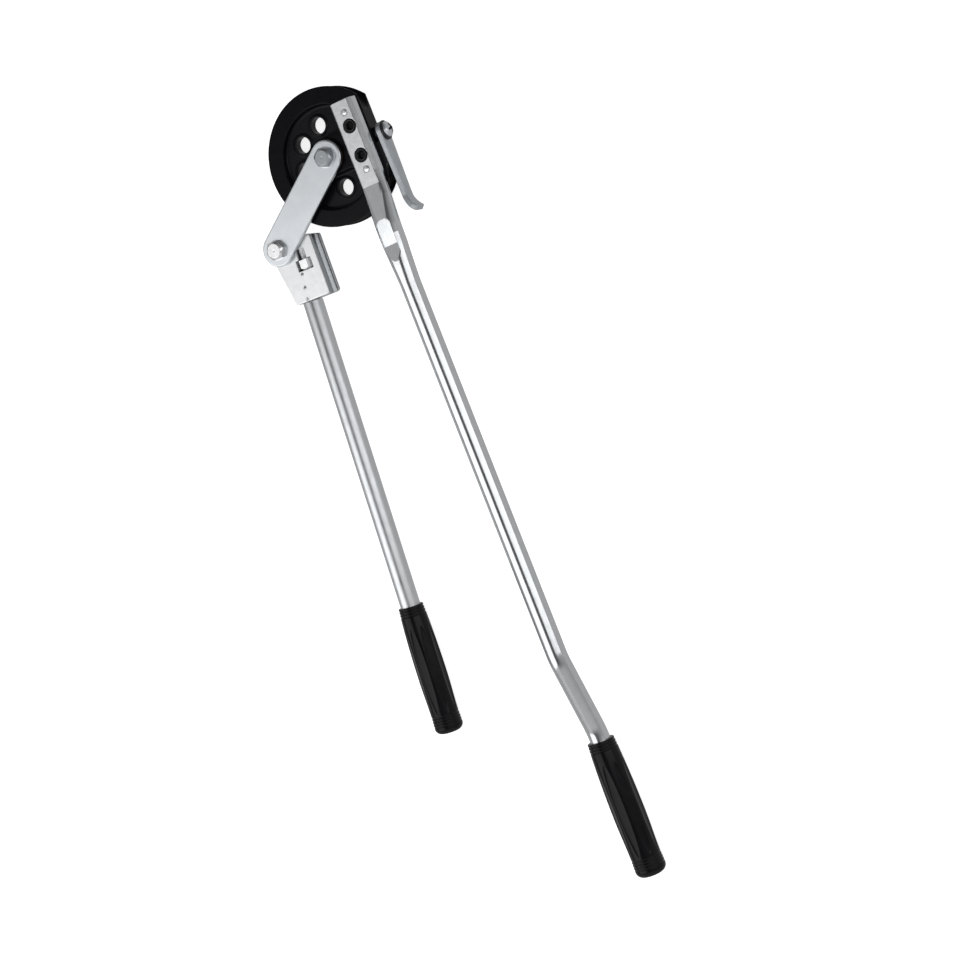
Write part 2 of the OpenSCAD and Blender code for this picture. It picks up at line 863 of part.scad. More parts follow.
// The latch's outline as seen along its screw: a round eye, a taper and a rounded thumb end
module latch_plan() {
    hull() {
        circle(r = latch_r);
        translate([-latch_end_w / 2, -latch_len])
            square([latch_end_w, 1]);
    }
    hull() {
        translate([-latch_end_w / 2, -latch_len])
            square([latch_end_w, 1]);
        for (s = [-1, 1])
            translate([s * (tab_r - tab_corner_r), tab_corner_r - tab_drop - tab_past])
                circle(r = tab_corner_r, $fn = 32);
    }
}

module latch() {
    color([0.66, 0.68, 0.7])
        difference() {
            intersection() {
                translate([spacer_x, latch_y, mid_z - latch_w])
                    linear_extrude(height = 2 * latch_w)
                        latch_side();
                on_flat(spacer_x - over)
                    linear_extrude(height = 2 * latch_bend_r + 2 * over)
                        latch_plan();
            }
            on_flat(spacer_x)
                post(latch_bush_r + run_gap, -over, latch_t + over);
        }
}

module latch_washer() {
    color([0.06, 0.06, 0.06])
        on_flat(latch_washer_x)
            ring(latch_washer_r, latch_screw_r + seat_gap, 0, latch_washer_t);
}

// The latch screw: a cross recess pan head, a plain shank to the wheel's flat and a threaded end
module latch_screw() {
    shank = latch_head_x - flat_x;
    rim_r = latch_head_r - run_gap * 8;
    color([0.72, 0.73, 0.74])
        on_flat(latch_head_x)
            difference() {
                union() {
                    cylinder(r1 = latch_head_r, r2 = rim_r, h = latch_head_h - latch_head_edge);
                    translate([0, 0, latch_head_h - latch_head_edge])
                        cylinder(r1 = rim_r, r2 = rim_r - 2, h = latch_head_edge);
                    post(latch_screw_r, -shank, 0);
                    post(core_ratio * latch_screw_r, -shank - latch_screw_depth, 0);
                }
                for (turn = [0, 90])
                    rotate([0, 0, turn])
                        translate([-cross_len / 2, -cross_w / 2, latch_head_h - cross_h])
                            cube([cross_len, cross_w, cross_h + over]);
            }
}

bend_wheel();
wheel_thrust_washer();
pivot_bolt();
pivot_washer();
link_plate();
upper_bush();
lower_bush();
link_pin_bolt();
link_pin_washer();
pin_thrust_washer();
shoe_block();
adjusting_bolt();
shoe_roll_pins();
handle_set_screw();
short_handle();
short_grip();
short_end_plug();
long_handle();
long_grip();
long_end_plug();
tongue_screws();
tongue_dowels();
latch();
latch_spacer();
latch_washer();
latch_screw();
latch_bush();
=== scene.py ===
"""The looks of the tube bender: filleted castings, a pressed handle, moulded grips and plated fasteners."""

import math

import bmesh
import bpy
import numpy as np
from mathutils import Matrix, Vector


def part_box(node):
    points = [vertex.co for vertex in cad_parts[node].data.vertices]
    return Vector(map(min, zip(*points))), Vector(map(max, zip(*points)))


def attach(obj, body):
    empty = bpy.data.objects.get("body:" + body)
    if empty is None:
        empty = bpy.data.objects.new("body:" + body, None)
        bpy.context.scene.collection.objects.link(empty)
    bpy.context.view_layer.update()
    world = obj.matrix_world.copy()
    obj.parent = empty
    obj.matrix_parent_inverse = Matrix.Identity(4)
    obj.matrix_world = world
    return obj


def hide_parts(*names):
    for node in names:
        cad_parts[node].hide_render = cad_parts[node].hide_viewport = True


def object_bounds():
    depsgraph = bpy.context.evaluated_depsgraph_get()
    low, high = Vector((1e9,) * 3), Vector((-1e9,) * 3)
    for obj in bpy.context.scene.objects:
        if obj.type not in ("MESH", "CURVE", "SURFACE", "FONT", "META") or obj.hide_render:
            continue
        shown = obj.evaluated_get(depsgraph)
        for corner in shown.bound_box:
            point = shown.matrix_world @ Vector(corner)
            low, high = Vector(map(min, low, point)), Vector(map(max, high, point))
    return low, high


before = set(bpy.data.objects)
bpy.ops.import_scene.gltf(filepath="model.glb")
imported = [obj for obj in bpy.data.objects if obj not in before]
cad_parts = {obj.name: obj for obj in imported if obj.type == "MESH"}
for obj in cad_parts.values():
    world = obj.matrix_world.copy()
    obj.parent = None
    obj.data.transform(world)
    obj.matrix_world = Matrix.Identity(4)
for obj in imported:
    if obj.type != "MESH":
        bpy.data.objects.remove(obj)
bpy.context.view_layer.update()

# Shapes are made in millimetres and scaled to metres when a piece is made
MM = 0.001
ROOT = "wheel_and_long_handle"
LINK = "link_arm"
SHOE = "shoe_and_short_handle"
LATCH = "latch_arm"


def box_mm(node):
    """The lowest and highest corners of a CAD node, in millimetres."""
    return [np.array(corner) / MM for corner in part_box(node)]


# The wheel, as the part has it
wheel_low, wheel_high = box_mm("bend_wheel")
bend_radius = -wheel_low[0]
flat_x = wheel_high[0]
hub_z = wheel_high[2]
hub_proud = 0.5
wheel_t = hub_z - hub_proud
mid_z = wheel_t / 2
groove_r = 8.0
rim_w = 16.5
recess_r = bend_radius - rim_w
web_t = 8.0
hub_r = 18.0
hole_r = 7.8
hole_circle_r = 32.0
first_hole_a = 92.0
hole_pitch_a = 45.7
hole_angles = [math.radians(first_hole_a + hole_pitch_a * i) for i in (0, 1, 2, 4)]
lip_w = 2.2
lip_h = 1.2
bolt_hole_depth = 16.0
screw_hole_depth = 17.0

# The long handle
handle_x = 36.6
handle_r = 10.0
tongue_t = 9.0
tongue_w = math.pi * handle_r - (math.pi / 2 - 1) * tongue_t
tongue_top = 41.5
tongue_top_z = wheel_t + tongue_t
seat_depth = 0.4
ramp_y = -42.5
plateau_z = wheel_t + 16.5
plateau_end = -101.5
round_y = -139.5
handle_z = wheel_t + handle_r
drop_start = 512.0
low_y = 606.0
drop_bend_r = 60.0
drop_a = math.radians(14.0)
seat_left = handle_x - tongue_w / 2 - 2
# Its pressed stretch: the distance down the handle with the half width, and with the height
half_widths = ((-ramp_y, tongue_w / 2), (79.5, 12.65), (101.5, 12.2), (113, 11.4), (-round_y, handle_r))
heights = ((-ramp_y, tongue_t), (83, 18.6), (92, 19.6), (101.5, 19.6), (122, 2 * handle_r))
# The slopes of the tongue's right flank: X and Z above the wheel of a point of each, its angle from level in
# degrees and the softness of its upper edge
crease_x = 43.3
flank_slopes = (
    (crease_x, tongue_t - seat_depth, 36, 0.12),
    (crease_x + 2, 7.15, 54, 0.1),
    (49.4, 0.0, 64.5, 0.08),
)
# The flank turns into the pressed stretch between these distances down the handle
flank_blend = (30, 54)
# The press mark on top, with an arch at its upper end and a climb at its lower one
mark_x = handle_x - 0.8
mark_half_w = 7.5
mark_arch_y = -82.5
mark_arch_h = 6.3
mark_arch_scale = 6.0
mark_climb = math.radians(13)
mark_low_y = -130.0

# The fasteners in the tongue
screw_ys = (16.4, -12.6)
dowel_ys = (30.2, -26.4)
screw_r = 3.4
screw_head_r = 6.5
screw_head_h = 5.0
screw_head_gap = 0.3
screw_socket_flats = 6.0
screw_socket_depth = 3.6
screw_ring_r = 4.9
knurl_count = 36
dowel_r = 3.0
dowel_len = 20.0
dowel_gap = 0.15
dowel_seat_depth = 2.0

# The link and its bolts
link_len = 104.3
link_w = 32.5
link_angle = math.radians(215.3)
link_z, link_top = box_mm("link_plate")[0][2], box_mm("link_plate")[1][2]
pivot_r = 5.0
pivot_core_r = 4.25
pivot_thread = 14.0
bush_wall = 1.55
bolt_flats = 17.0
bolt_head_h = 6.4
washer_t = 0.8
washer_r = pivot_r + 5
washer_gap = 0.05
hub_washer_r = 15.4
bolt_z = link_top + washer_t
pin_x = link_len * math.cos(link_angle)
pin_y = link_len * math.sin(link_angle)

# The shoe and the short handle
shoe_low, shoe_high = box_mm("shoe_block")[0][2], box_mm("shoe_block")[1][2]
shoe_turn = math.radians(-1.95)
shoe_face_x = 35.5
groove_out = 1.5
shoe_top = 3.4
shoe_bottom = 56.0
shoe_foot_x = 4.0
shoe_foot_r = 0.8
shoe_tip_r = 1.5
shoe_corner_r = 3.0
shoe_lug_r = 12.7
shoe_thread_r = 4.27
adjuster_x = 19.5
adjuster_d = 9.0
adjuster_pitch = 1.25
adjuster_thread = 7.0
adjuster_flats = 14.5
adjuster_head_h = 10.0
adjuster_head_y = 16.7
adjuster_z = shoe_high - adjuster_flats / 2 + 0.7
adjuster_turn = math.radians(-3)
pocket_top = 6.0
pocket_bottom = 27.0
roll_pin_r = 1.5
roll_pin_bore_r = 0.75
roll_pin_slot = 0.7
short_pin = (13.4, -29.4)
long_pin = (11.4, -42.2)
set_screw = (10.1, -53.4)
set_screw_r = 2.0
socket_x = 8.4
handle_lean = math.radians(-2.46)
spigot_len = 22.0
spigot_r = 6.5
shoulder = 0.45

# The grips
short_tube = 312.0
short_grip_len = 130.0
short_grip_r = 29.3 / 2
long_grip_len = 137.0
long_grip_r = 31.4 / 2
grip_lead = 2.0
grip_end_t = 6.0
# Their outline: shares of the length, and the shares of the radius that are missing there
widest_t, neck_t, end_t = 0.55, 0.86, 0.93
start_loss, neck_loss, end_loss = 0.15, 0.055, 0.025
ring_depth, ring_half_w, ring_pitch = 0.6, 0.55, 3.0
flute_count = 8
flute_depth = 1.1
flute_share = 0.3

# The latch
latch_y = 1.5
spacer_x = box_mm("latch")[0][0]
latch_t = 5.4
latch_r = 9.25
latch_end_r = 6.5
latch_len = 63.0
latch_bend_r = 24.0
latch_bend_a = math.radians(45)
latch_tip_len = 2.0
latch_tab_len = 6.0
latch_tab_flare = 1.7
latch_bush_r = 4.5
latch_screw_r = 2.9
latch_thread = 12.0
latch_head_r = 7.5
latch_head_h = 5.5
latch_dome_r = 9.6
latch_head_turn = math.radians(20)
cross_half_len = 4.4
cross_half_w = 1.05
cross_depth = 2.8


# Distance fields: each gives how far a point lies outside a shape, below zero inside

def meet(a, b, r=0.0):
    """What lies in both shapes, with the edge between them rounded to radius r."""
    if r == 0:
        return np.maximum(a, b)
    return np.minimum(-r, np.maximum(a, b)) + np.hypot(np.maximum(a + r, 0), np.maximum(b + r, 0))


def join(a, b, r=0.0):
    """What lies in either shape, with a fillet of radius r between them."""
    return -meet(-a, -b, r)


def cut(a, b, r=0.0):
    """Shape a without shape b, with the cut's edge rounded to radius r."""
    return meet(a, -b, r)


def capsule(x, y, r0, r1, length):
    """Two circles, r0 at the origin and r1 at (length, 0), and the straight sides that touch both."""
    slope = (r0 - r1) / length
    side = math.sqrt(1 - slope * slope)
    across = np.abs(y)
    along = side * x - slope * across
    tangent = side * across + slope * x - r0
    ends = np.where(along < 0, np.hypot(x, across) - r0, np.hypot(x - length, across) - r1)
    return np.where((along >= 0) & (along <= side * length), tangent, ends)


def polygon(corners, x, y):
    """A polygon's field, from its corners in order."""
    best = np.inf
    inside = np.zeros(np.broadcast(x, y).shape, bool)
    for (ax, ay), (bx, by) in zip(corners, corners[1:] + corners[:1]):
        ex, ey = bx - ax, by - ay
        t = np.clip(((x - ax) * ex + (y - ay) * ey) / (ex * ex + ey * ey), 0, 1)
        best = np.minimum(best, np.hypot(x - ax - t * ex, y - ay - t * ey))
        passes = ((ay > y) != (by > y)) & (x < ax + ex * (y - ay) / (ey if ey else 1))
        inside = inside ^ passes
    return np.where(inside, -best, best)


def hull(points):
    """The corners of the convex outline around some points, anticlockwise."""
    points = sorted(points)
    rows = []
    for line in (points, points[::-1]):
        row = []
        for p in line:
            while len(row) > 1 and turn(row[-2], row[-1], p) <= 0:
                row.pop()
            row.append(p)
        rows += row[:-1]
    return rows


def turn(a, b, c):
    return (b[0] - a[0]) * (c[1] - a[1]) - (b[1] - a[1]) * (c[0] - a[0])


def circle(cx, cy, r, count=180):
    angles = [2 * math.pi * i / count for i in range(count)]
    return [(cx + r * math.cos(a), cy + r * math.sin(a)) for a in angles]


def hexagon(x, y, flats):
    """A hexagon with its corners along X."""
    across = np.abs(y)
    return np.maximum(across, np.abs(x) * math.cos(math.pi / 6) + across / 2) - flats / 2


# Shapes: each is (points, faces, normals or None), in millimetres

def steps(*stretches):
    """Grid lines from one value to the next. Each stretch is (start, end, step)."""
    lines = []
    for start, end, step in stretches:
        count = max(1, round((end - start) / step))
        lines += [start + (end - start) * i / count for i in range(count)]
    return np.array([*lines, stretches[-1][1]])


def skin(field, xs, ys, zs):
    """The surface field(x, y, z) = 0: a point in each grid cell that it crosses, moved onto the surface."""
    axes = (xs, ys, zs)
    value = field(xs[:, None, None], ys[None, :, None], zs[None, None, :])
    value = np.broadcast_to(value, (len(xs), len(ys), len(zs)))
    shape = np.array(value.shape) - 1
    cell_count = int(np.prod(shape))
    total = np.zeros((3, cell_count))
    hits = np.zeros(cell_count)
    quads = []
    for axis in range(3):
        side_u, side_v = (axis + 1) % 3, (axis + 2) % 3
        low = np.take(value, range(shape[axis]), axis)
        high = np.take(value, range(1, shape[axis] + 1), axis)
        at = np.argwhere((low < 0) != (high < 0))
        from_low, from_high = low[tuple(at.T)], high[tuple(at.T)]
        point = np.stack([axes[k][at[:, k]] for k in range(3)])
        share = from_low / (from_low - from_high)
        point[axis] += share * (axes[axis][at[:, axis] + 1] - axes[axis][at[:, axis]])
        corners = []
        for back_u, back_v in ((1, 1), (0, 1), (0, 0), (1, 0)):
            cell = at.copy()
            cell[:, side_u] -= back_u
            cell[:, side_v] -= back_v
            flat = np.ravel_multi_index(tuple(cell.T), tuple(shape))
            hits += np.bincount(flat, minlength=cell_count)
            for k in range(3):
                total[k] += np.bincount(flat, point[k], cell_count)
            corners.append(flat)
        quad = np.stack(corners, 1)
        quad[from_low > 0] = quad[from_low > 0][:, ::-1]
        quads.append(quad)
    used = np.flatnonzero(hits)
    number = np.full(cell_count, -1)
    number[used] = np.arange(len(used))
    points = (total[:, used] / hits[used]).T
    reach = max(float(np.diff(a).min()) for a in axes)
    for _ in range(5):
        slope = gradient(field, points)
        size = np.maximum((slope ** 2).sum(1), 0.05)
        step = (field(*points.T) / size)[:, None] * slope
        length = np.linalg.norm(step, axis=1, keepdims=True)
        points = points - step * np.minimum(1, reach / np.maximum(length, 1e-9))
    normals = gradient(field, points)
    normals /= np.maximum(np.linalg.norm(normals, axis=1, keepdims=True), 1e-9)
    return points, number[np.concatenate(quads)], normals


def gradient(field, points):
    """The field's slope at some points."""
    small = 0.004
    slope = np.empty_like(points)
    for k in range(3):
        ahead, behind = points.copy(), points.copy()
        ahead[:, k] += small
        behind[:, k] -= small
        slope[:, k] = (field(*ahead.T) - field(*behind.T)) / (2 * small)
    return slope


def lathe(outline, count=96, radius_at=None):
    """An outline of (radius, height) points turned about Z. It ends on the axis, or closes on itself."""
    closed = outline[0][0] > 0
    angles = 2 * math.pi * np.arange(count) / count
    rings = []
    for r, z in outline:
        radii = radius_at(r, z, angles) if radius_at else np.full(count, r)
        rings.append(np.stack([radii * np.cos(angles), radii * np.sin(angles), np.full(count, z)], 1))
    points = np.concatenate(rings)
    faces = []
    near = np.arange(count)
    far = (near + 1) % count
    last = len(outline) if closed else len(outline) - 1
    for i in range(last):
        a, b = i * count, (i + 1) % len(outline) * count
        faces.append(np.stack([near + a, far + a, far + b, near + b], 1))
    return points, np.concatenate(faces), None


def rounded(outline, r, count=4):
    """An outline with its inner corners turned into arcs of radius r, or less on short sides."""
    made = [outline[0]]
    for before, corner, after in zip(outline, outline[1:], outline[2:]):
        p, a, b = (Vector(q) for q in (corner, before, after))
        to_a, to_b = a - p, b - p
        angle = to_a.angle(to_b, math.pi)
        if angle > math.radians(170) or corner[0] == 0:
            made.append(corner)
            continue
        length = min(r / math.tan(angle / 2), to_a.length * 0.45, to_b.length * 0.45)
        start, end = p + to_a.normalized() * length, p + to_b.normalized() * length
        for i in range(count + 1):
            t = i / count
            made.append(tuple((1 - t) ** 2 * start + 2 * t * (1 - t) * p + t * t * end))
    made.append(outline[-1])
    return made


def placed(shape, place):
    """A shape moved by a matrix."""
    points, faces, normals = shape
    turn_part = np.array(place.to_3x3())
    points = points @ turn_part.T + np.array(place.translation)
    return points, faces, None if normals is None else normals @ turn_part.T


def stack(shapes):
    """Several shapes as one."""
    offset, faces = 0, []
    for points, quads, _ in shapes:
        faces.append(quads + offset)
        offset += len(points)
    normals = None
    if all(s[2] is not None for s in shapes):
        normals = np.concatenate([s[2] for s in shapes])
    return np.concatenate([s[0] for s in shapes]), np.concatenate(faces), normals


def piece(name, shape, body, nodes, materials, pick=None, crease=35):
    """Makes the piece's object. pick(centres) gives the number of the material for each face."""
    points, faces, normals = shape
    mesh = bpy.data.meshes.new(name)
    mesh.from_pydata((points * MM).tolist(), [], faces.tolist())
    if normals is None:
        clean(mesh, math.radians(crease))
    else:
        mesh.shade_smooth()
        mesh.normals_split_custom_set_from_vertices(normals.tolist())
    for material in materials:
        mesh.materials.append(material)
    if pick:
        centres = np.empty(len(mesh.polygons) * 3)
        mesh.polygons.foreach_get("center", centres)
        chosen = pick(centres.reshape(-1, 3) / MM)
        mesh.polygons.foreach_set("material_index", chosen.astype(np.int32))
    mesh.update()
    obj = bpy.data.objects.new(name, mesh)
    bpy.context.scene.collection.objects.link(obj)
    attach(obj, body)
    if nodes:
        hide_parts(*nodes)


def clean(mesh, crease):
    """Welds a turned shape's points on its axis, turns its faces outward and smooths it up to its creases."""
    bm = bmesh.new()
    bm.from_mesh(mesh)
    bmesh.ops.remove_doubles(bm, verts=bm.verts, dist=1e-6)
    bmesh.ops.dissolve_degenerate(bm, edges=bm.edges, dist=1e-7)
    bmesh.ops.recalc_face_normals(bm, faces=bm.faces)
    bm.to_mesh(mesh)
    bm.free()
    mesh.shade_smooth()
    mesh.set_sharp_from_angle(angle=crease)


# Places of the moving parts' own axes

def at(x, y, z=0.0, turned=0.0):
    return Matrix.Translation((x, y, z)) @ Matrix.Rotation(turned, 4, "Z")


LINK_PLACE = at(0, 0, 0, link_angle)
SHOE_PLACE = at(pin_x, pin_y, 0, shoe_turn)
TOWARDS_GRIP = Matrix.Rotation(math.pi / 2, 4, "X")
SHORT_HANDLE_PLACE = SHOE_PLACE @ at(socket_x, -shoe_bottom, mid_z, handle_lean) @ TOWARDS_GRIP
LONG_GRIP_PLACE = at(handle_x, -low_y - grip_lead, mid_z) @ TOWARDS_GRIP
FLAT_PLACE = at(flat_x, latch_y, mid_z) @ Matrix.Rotation(math.pi / 2, 4, "Y")


# Materials

class Paint:
    """A material that is built up on its Principled shader, from noise in the object's own metres."""

    def __init__(self, name, colour, metallic, roughness, **sockets):
        self.material = bpy.data.materials.new(name)
        self.material.use_nodes = True
        self.tree = self.material.node_tree
        self.shader = self.tree.nodes["Principled BSDF"]
        self.colour = colour
        self.shader.inputs["Base Color"].default_value = (*colour, 1)
        self.shader.inputs["Metallic"].default_value = metallic
        self.shader.inputs["Roughness"].default_value = roughness
        for key, value in sockets.items():
            self.shader.inputs[key.replace("_", " ").title().replace("Ior", "IOR")].default_value = value
        self.place = self.node("ShaderNodeTexCoord").outputs["Object"]

    def node(self, kind):
        return self.tree.nodes.new(kind)

    def noise(self, grain_mm, stretch=(1, 1, 1), detail=4.0):
        """Noise whose features are about grain_mm across, longer along an axis where stretch is below 1."""
        mapping = self.node("ShaderNodeMapping")
        mapping.inputs["Scale"].default_value = [s / (grain_mm * MM) for s in stretch]
        self.tree.links.new(self.place, mapping.inputs["Vector"])
        made = self.node("ShaderNodeTexNoise")
        made.inputs["Scale"].default_value = 1
        made.inputs["Detail"].default_value = detail
        self.tree.links.new(mapping.outputs["Vector"], made.inputs["Vector"])
        return made.outputs["Fac"]

    def tint(self, source, dark, light):
        """Colours the surface from dark to light times its own colour."""
        ramp = self.node("ShaderNodeValToRGB")
        ends = ramp.color_ramp.elements
        ends[0].position, ends[1].position = 0.3, 0.7
        ends[0].color = (*(min(1, c * dark) for c in self.colour), 1)
        ends[1].color = (*(min(1, c * light) for c in self.colour), 1)
        self.tree.links.new(source, ramp.inputs["Fac"])
        self.tree.links.new(ramp.outputs["Color"], self.shader.inputs["Base Color"])

    def sheen(self, source, smooth, rough):
        """Lets the roughness run from smooth to rough."""
        spread = self.node("ShaderNodeMapRange")
        for key, value in (("From Min", 0.3), ("From Max", 0.7), ("To Min", smooth), ("To Max", rough)):
            spread.inputs[key].default_value = value
        self.tree.links.new(source, spread.inputs["Value"])
        self.tree.links.new(spread.outputs["Result"], self.shader.inputs["Roughness"])

    def bump(self, source, depth_mm):
        """Adds relief of about depth_mm."""
        made = self.node("ShaderNodeBump")
        made.inputs["Distance"].default_value = depth_mm * MM
        made.inputs["Strength"].default_value = 1.0
        self.tree.links.new(source, made.inputs["Height"])
        self.tree.links.new(made.outputs["Normal"], self.shader.inputs["Normal"])


def plated(name, colour, smooth, rough, grain=1.2, depth=0.006, stretch=(1, 1, 1), spread=0.06):
    """Zinc or nickel plate over steel: a cloudy tint, uneven gloss and a fine grain."""
    paint = Paint(name, colour, 1.0, (smooth + rough) / 2)
    paint.tint(paint.noise(9 * grain), 1 - spread, 1 + spread)
    paint.sheen(paint.noise(3 * grain, stretch), smooth, rough)
    paint.bump(paint.noise(grain, stretch, 6.0), depth)
    return paint.material


link_zinc = plated("link_zinc", (0.80, 0.83, 0.86), 0.28, 0.36, depth=0.003, spread=0.03)
shoe_zinc = plated("shoe_zinc", (0.86, 0.87, 0.88), 0.3, 0.38, depth=0.003, spread=0.03)
tube_zinc = plated("tube_zinc", (0.80, 0.82, 0.84), 0.13, 0.2, 0.9, 0.002, (1, 0.3, 1), 0.03)
short_zinc = plated("short_zinc", (0.78, 0.80, 0.82), 0.3, 0.38, 0.9, 0.003, (1, 0.3, 1), 0.03)
# A darker zinc for the shoe's groove and the face beside it: painted shade
shaded_groove_zinc = plated("shaded_groove_zinc", (0.42, 0.44, 0.46), 0.16, 0.24, depth=0.003, spread=0.05)
milled_zinc = plated("milled_zinc", (0.85, 0.86, 0.88), 0.36, 0.46, 0.5, 0.02, spread=0.08)
dull_bolt = plated("dull_bolt", (0.46, 0.48, 0.50), 0.26, 0.38, 0.9, 0.004)
bright_bolt = plated("bright_bolt", (0.88, 0.88, 0.89), 0.18, 0.26, 0.9, 0.0015)
latch_steel = plated("latch_steel", (0.62, 0.65, 0.68), 0.4, 0.5, 0.9, 0.006)
pin_steel = plated("pin_steel", (0.66, 0.67, 0.69), 0.2, 0.3, 0.5, 0.003)
bronze = plated("bronze", (0.42, 0.28, 0.15), 0.3, 0.5, 0.8, 0.008)


def black(name, colour, smooth, rough, grain, depth, metallic=0.0, **sockets):
    """A black finish: a faint tint, uneven gloss and a grain."""
    paint = Paint(name, colour, metallic, (smooth + rough) / 2, **sockets)
    paint.tint(paint.noise(12 * grain), 0.75, 1.3)
    paint.sheen(paint.noise(4 * grain), smooth, rough)
    paint.bump(paint.noise(grain, detail=5.0), depth)
    return paint.material


cast_black = black("cast_black", (0.005, 0.005, 0.007), 0.22, 0.34, 1.6, 0.1, specular_ior_level=0.15)
rim_black = black("rim_black", (0.003, 0.003, 0.0045), 0.16, 0.24, 0.8, 0.006, specular_ior_level=0.12)
screw_black = black("screw_black", (0.004, 0.004, 0.005), 0.18, 0.28, 0.5, 0.005, specular_ior_level=0.2)
# A lighter metallic grey for the ring around the socket screws' sockets: a painted highlight
screw_ring_highlight = black("screw_ring_highlight", (0.055, 0.055, 0.06), 0.3, 0.4, 0.5, 0.005, 0.8)
washer_black = black("washer_black", (0.008, 0.008, 0.009), 0.3, 0.45, 0.8, 0.01)
grip_black = black("grip_black", (0.005, 0.005, 0.006), 0.14, 0.24, 1.5, 0.012, specular_ior_level=0.2)
plug_black = black("plug_black", (0.02, 0.02, 0.02), 0.5, 0.7, 1.0, 0.02)


# The wheel's own pieces

def recess_plan(x, y):
    """The recess on each side of the wheel, between its rim and its hub, bridge and handle seat."""
    bridge = meet(-x, np.abs(y) - hub_r)
    kept = join(np.minimum(np.hypot(x, y) - hub_r, bridge), seat_left - x, 5.0)
    return cut(np.hypot(x, y) - recess_r, kept, 4.0)


def hole_plan(x, y):
    best = np.inf
    for a in hole_angles:
        away = np.hypot(x - hole_circle_r * math.cos(a), y - hole_circle_r * math.sin(a))
        best = np.minimum(best, away - hole_r)
    return best


def wheel_field(x, y, z):
    rho = np.hypot(x, y)
    high = np.abs(z - mid_z)
    body = meet(rho - bend_radius, high - wheel_t / 2, 0.5)
    body = cut(body, np.hypot(rho - bend_radius, z - mid_z) - groove_r, 0.5)
    draft = 0.12 * (wheel_t / 2 - high)
    body = cut(body, meet(recess_plan(x, y) + draft, web_t / 2 - high, 2.4), 1.0)
    holes = hole_plan(x, y)
    body = join(body, meet(holes - lip_w, high - web_t / 2 - lip_h, 1.0), 1.4)
    body = cut(body, holes, 0.9)
    body = join(body, meet(meet(rho - hub_r, z - hub_z, 0.4), mid_z - z), 0.2)
    body = meet(body, x - flat_x, 0.6)
    body = cut(body, meet(rho - pivot_r, hub_z - bolt_hole_depth - z), 0.3)
    screws = np.inf
    for screw_y in screw_ys:
        screws = np.minimum(screws, np.hypot(x - handle_x, y - screw_y) - screw_r)
    for dowel_y in dowel_ys:
        screws = np.minimum(screws, np.hypot(x - handle_x, y - dowel_y) - dowel_r)
    return cut(body, meet(screws, hub_z - screw_hole_depth - z), 0.2)


def wheel_finish(centres):
    """Rough casting inside the recesses and holes, smooth black everywhere else."""
    x, y, z = centres.T
    return 1 - ((recess_plan(x, y) < 0.4) & (np.abs(z - mid_z) < wheel_t / 2 - 0.5)).astype(int)


def make_wheel():
    xs = steps((-bend_radius - 1, flat_x + 1, 0.75))
    ys = steps((-bend_radius - 1, bend_radius + 1, 0.75))
    shape = skin(wheel_field, xs, ys, steps((-1, hub_z + 1, 0.7)))
    piece("bend_wheel_casting", shape, ROOT, ["bend_wheel"], [cast_black, rim_black],
          wheel_finish)


# The long handle

def handle_offset(y, z):
    """Height above the long handle's centre line, measured square to it."""
    s = -y
    up = z - handle_z
    first = np.hypot(s - drop_start, up + drop_bend_r) - drop_bend_r
    slant = (s - drop_start) * math.sin(drop_a) + (up + drop_bend_r) * math.cos(drop_a) - drop_bend_r
    centre_z = mid_z + drop_bend_r
    second = drop_bend_r - np.hypot(low_y - s, centre_z - z)
    turned = np.arctan2(s - drop_start, up + drop_bend_r)
    left = np.arctan2(low_y - s, centre_z - z)
    middle = (drop_start + low_y) / 2
    offset = np.where(s > drop_start, np.where(turned < drop_a, first, slant), up)
    offset = np.where((s > middle) & (left < drop_a), second, offset)
    return np.where(s > low_y, z - mid_z, offset)


def tongue_flank(x, z):
    """All that lies under the tongue's seat and to the left of its right flank."""
    flank = z - tongue_top_z + seat_depth
    for start_x, start_z, angle, soft in flank_slopes:
        tilt = math.radians(angle)
        slope = (x - start_x) * math.sin(tilt) + (z - wheel_t - start_z) * math.cos(tilt)
        flank = meet(flank, slope, soft)
    return meet(flank, wheel_t - z, 0.3)


def press_mark(x, y, z):
    """The air above the press mark's level floor, its arched upper end and its climbing lower end."""
    wall = (plateau_end - y) * math.sin(mark_climb) - (z - plateau_z) * math.cos(mark_climb)
    past_arch = np.hypot((x - mark_x) / mark_half_w, np.maximum(y - mark_arch_y, 0) / mark_arch_h) - 1
    return meet(meet(meet(plateau_z - z, wall), mark_low_y - y), past_arch * mark_arch_scale)


def handle_field(x, y, z):
    half_w = np.interp(-y, *zip(*half_widths))
    height = np.interp(-y, *zip(*heights))
    side_r = np.minimum(height / 2, half_w)
    up = np.abs(handle_offset(y, z) - (height / 2 - handle_r)) - (height / 2 - side_r)
    across = np.abs(x - handle_x) - (half_w - side_r)
    inner = np.minimum(np.maximum(across, up), 0)
    body = np.hypot(np.maximum(across, 0), np.maximum(up, 0)) + inner - side_r
    share = np.interp(-y, flank_blend, (0, 1))
    body = np.where(x < handle_x, body, tongue_flank(x, z) * (1 - share) + body * share)
    body = meet(body, y - tongue_top, 0.6)
    body = meet(body, -y - low_y - grip_lead - long_grip_len + grip_end_t, 0.5)
    body = cut(body, press_mark(x, y, z), 0.35)
    # The milled seat of the screws
    body = cut(body, meet(tongue_top_z - seat_depth - z, ramp_y - y), 0.1)
    for screw_y in screw_ys:
        away = np.hypot(x - handle_x, y - screw_y) - screw_head_r - screw_head_gap
        body = cut(body, meet(away, tongue_top_z - screw_head_h - z), 0.3)
    for dowel_y in dowel_ys:
        away = np.hypot(x - handle_x, y - dowel_y) - dowel_r - dowel_gap
        body = cut(body, meet(away, tongue_top_z - dowel_seat_depth - z), 0.25)
    return body


def handle_finish(centres):
    """The milled seat has its own grain."""
    x, y, z = centres.T
    level = np.abs(z - tongue_top_z + seat_depth) < 0.06
    return (level & (y > ramp_y) & (x < crease_x + 2.7)).astype(int)


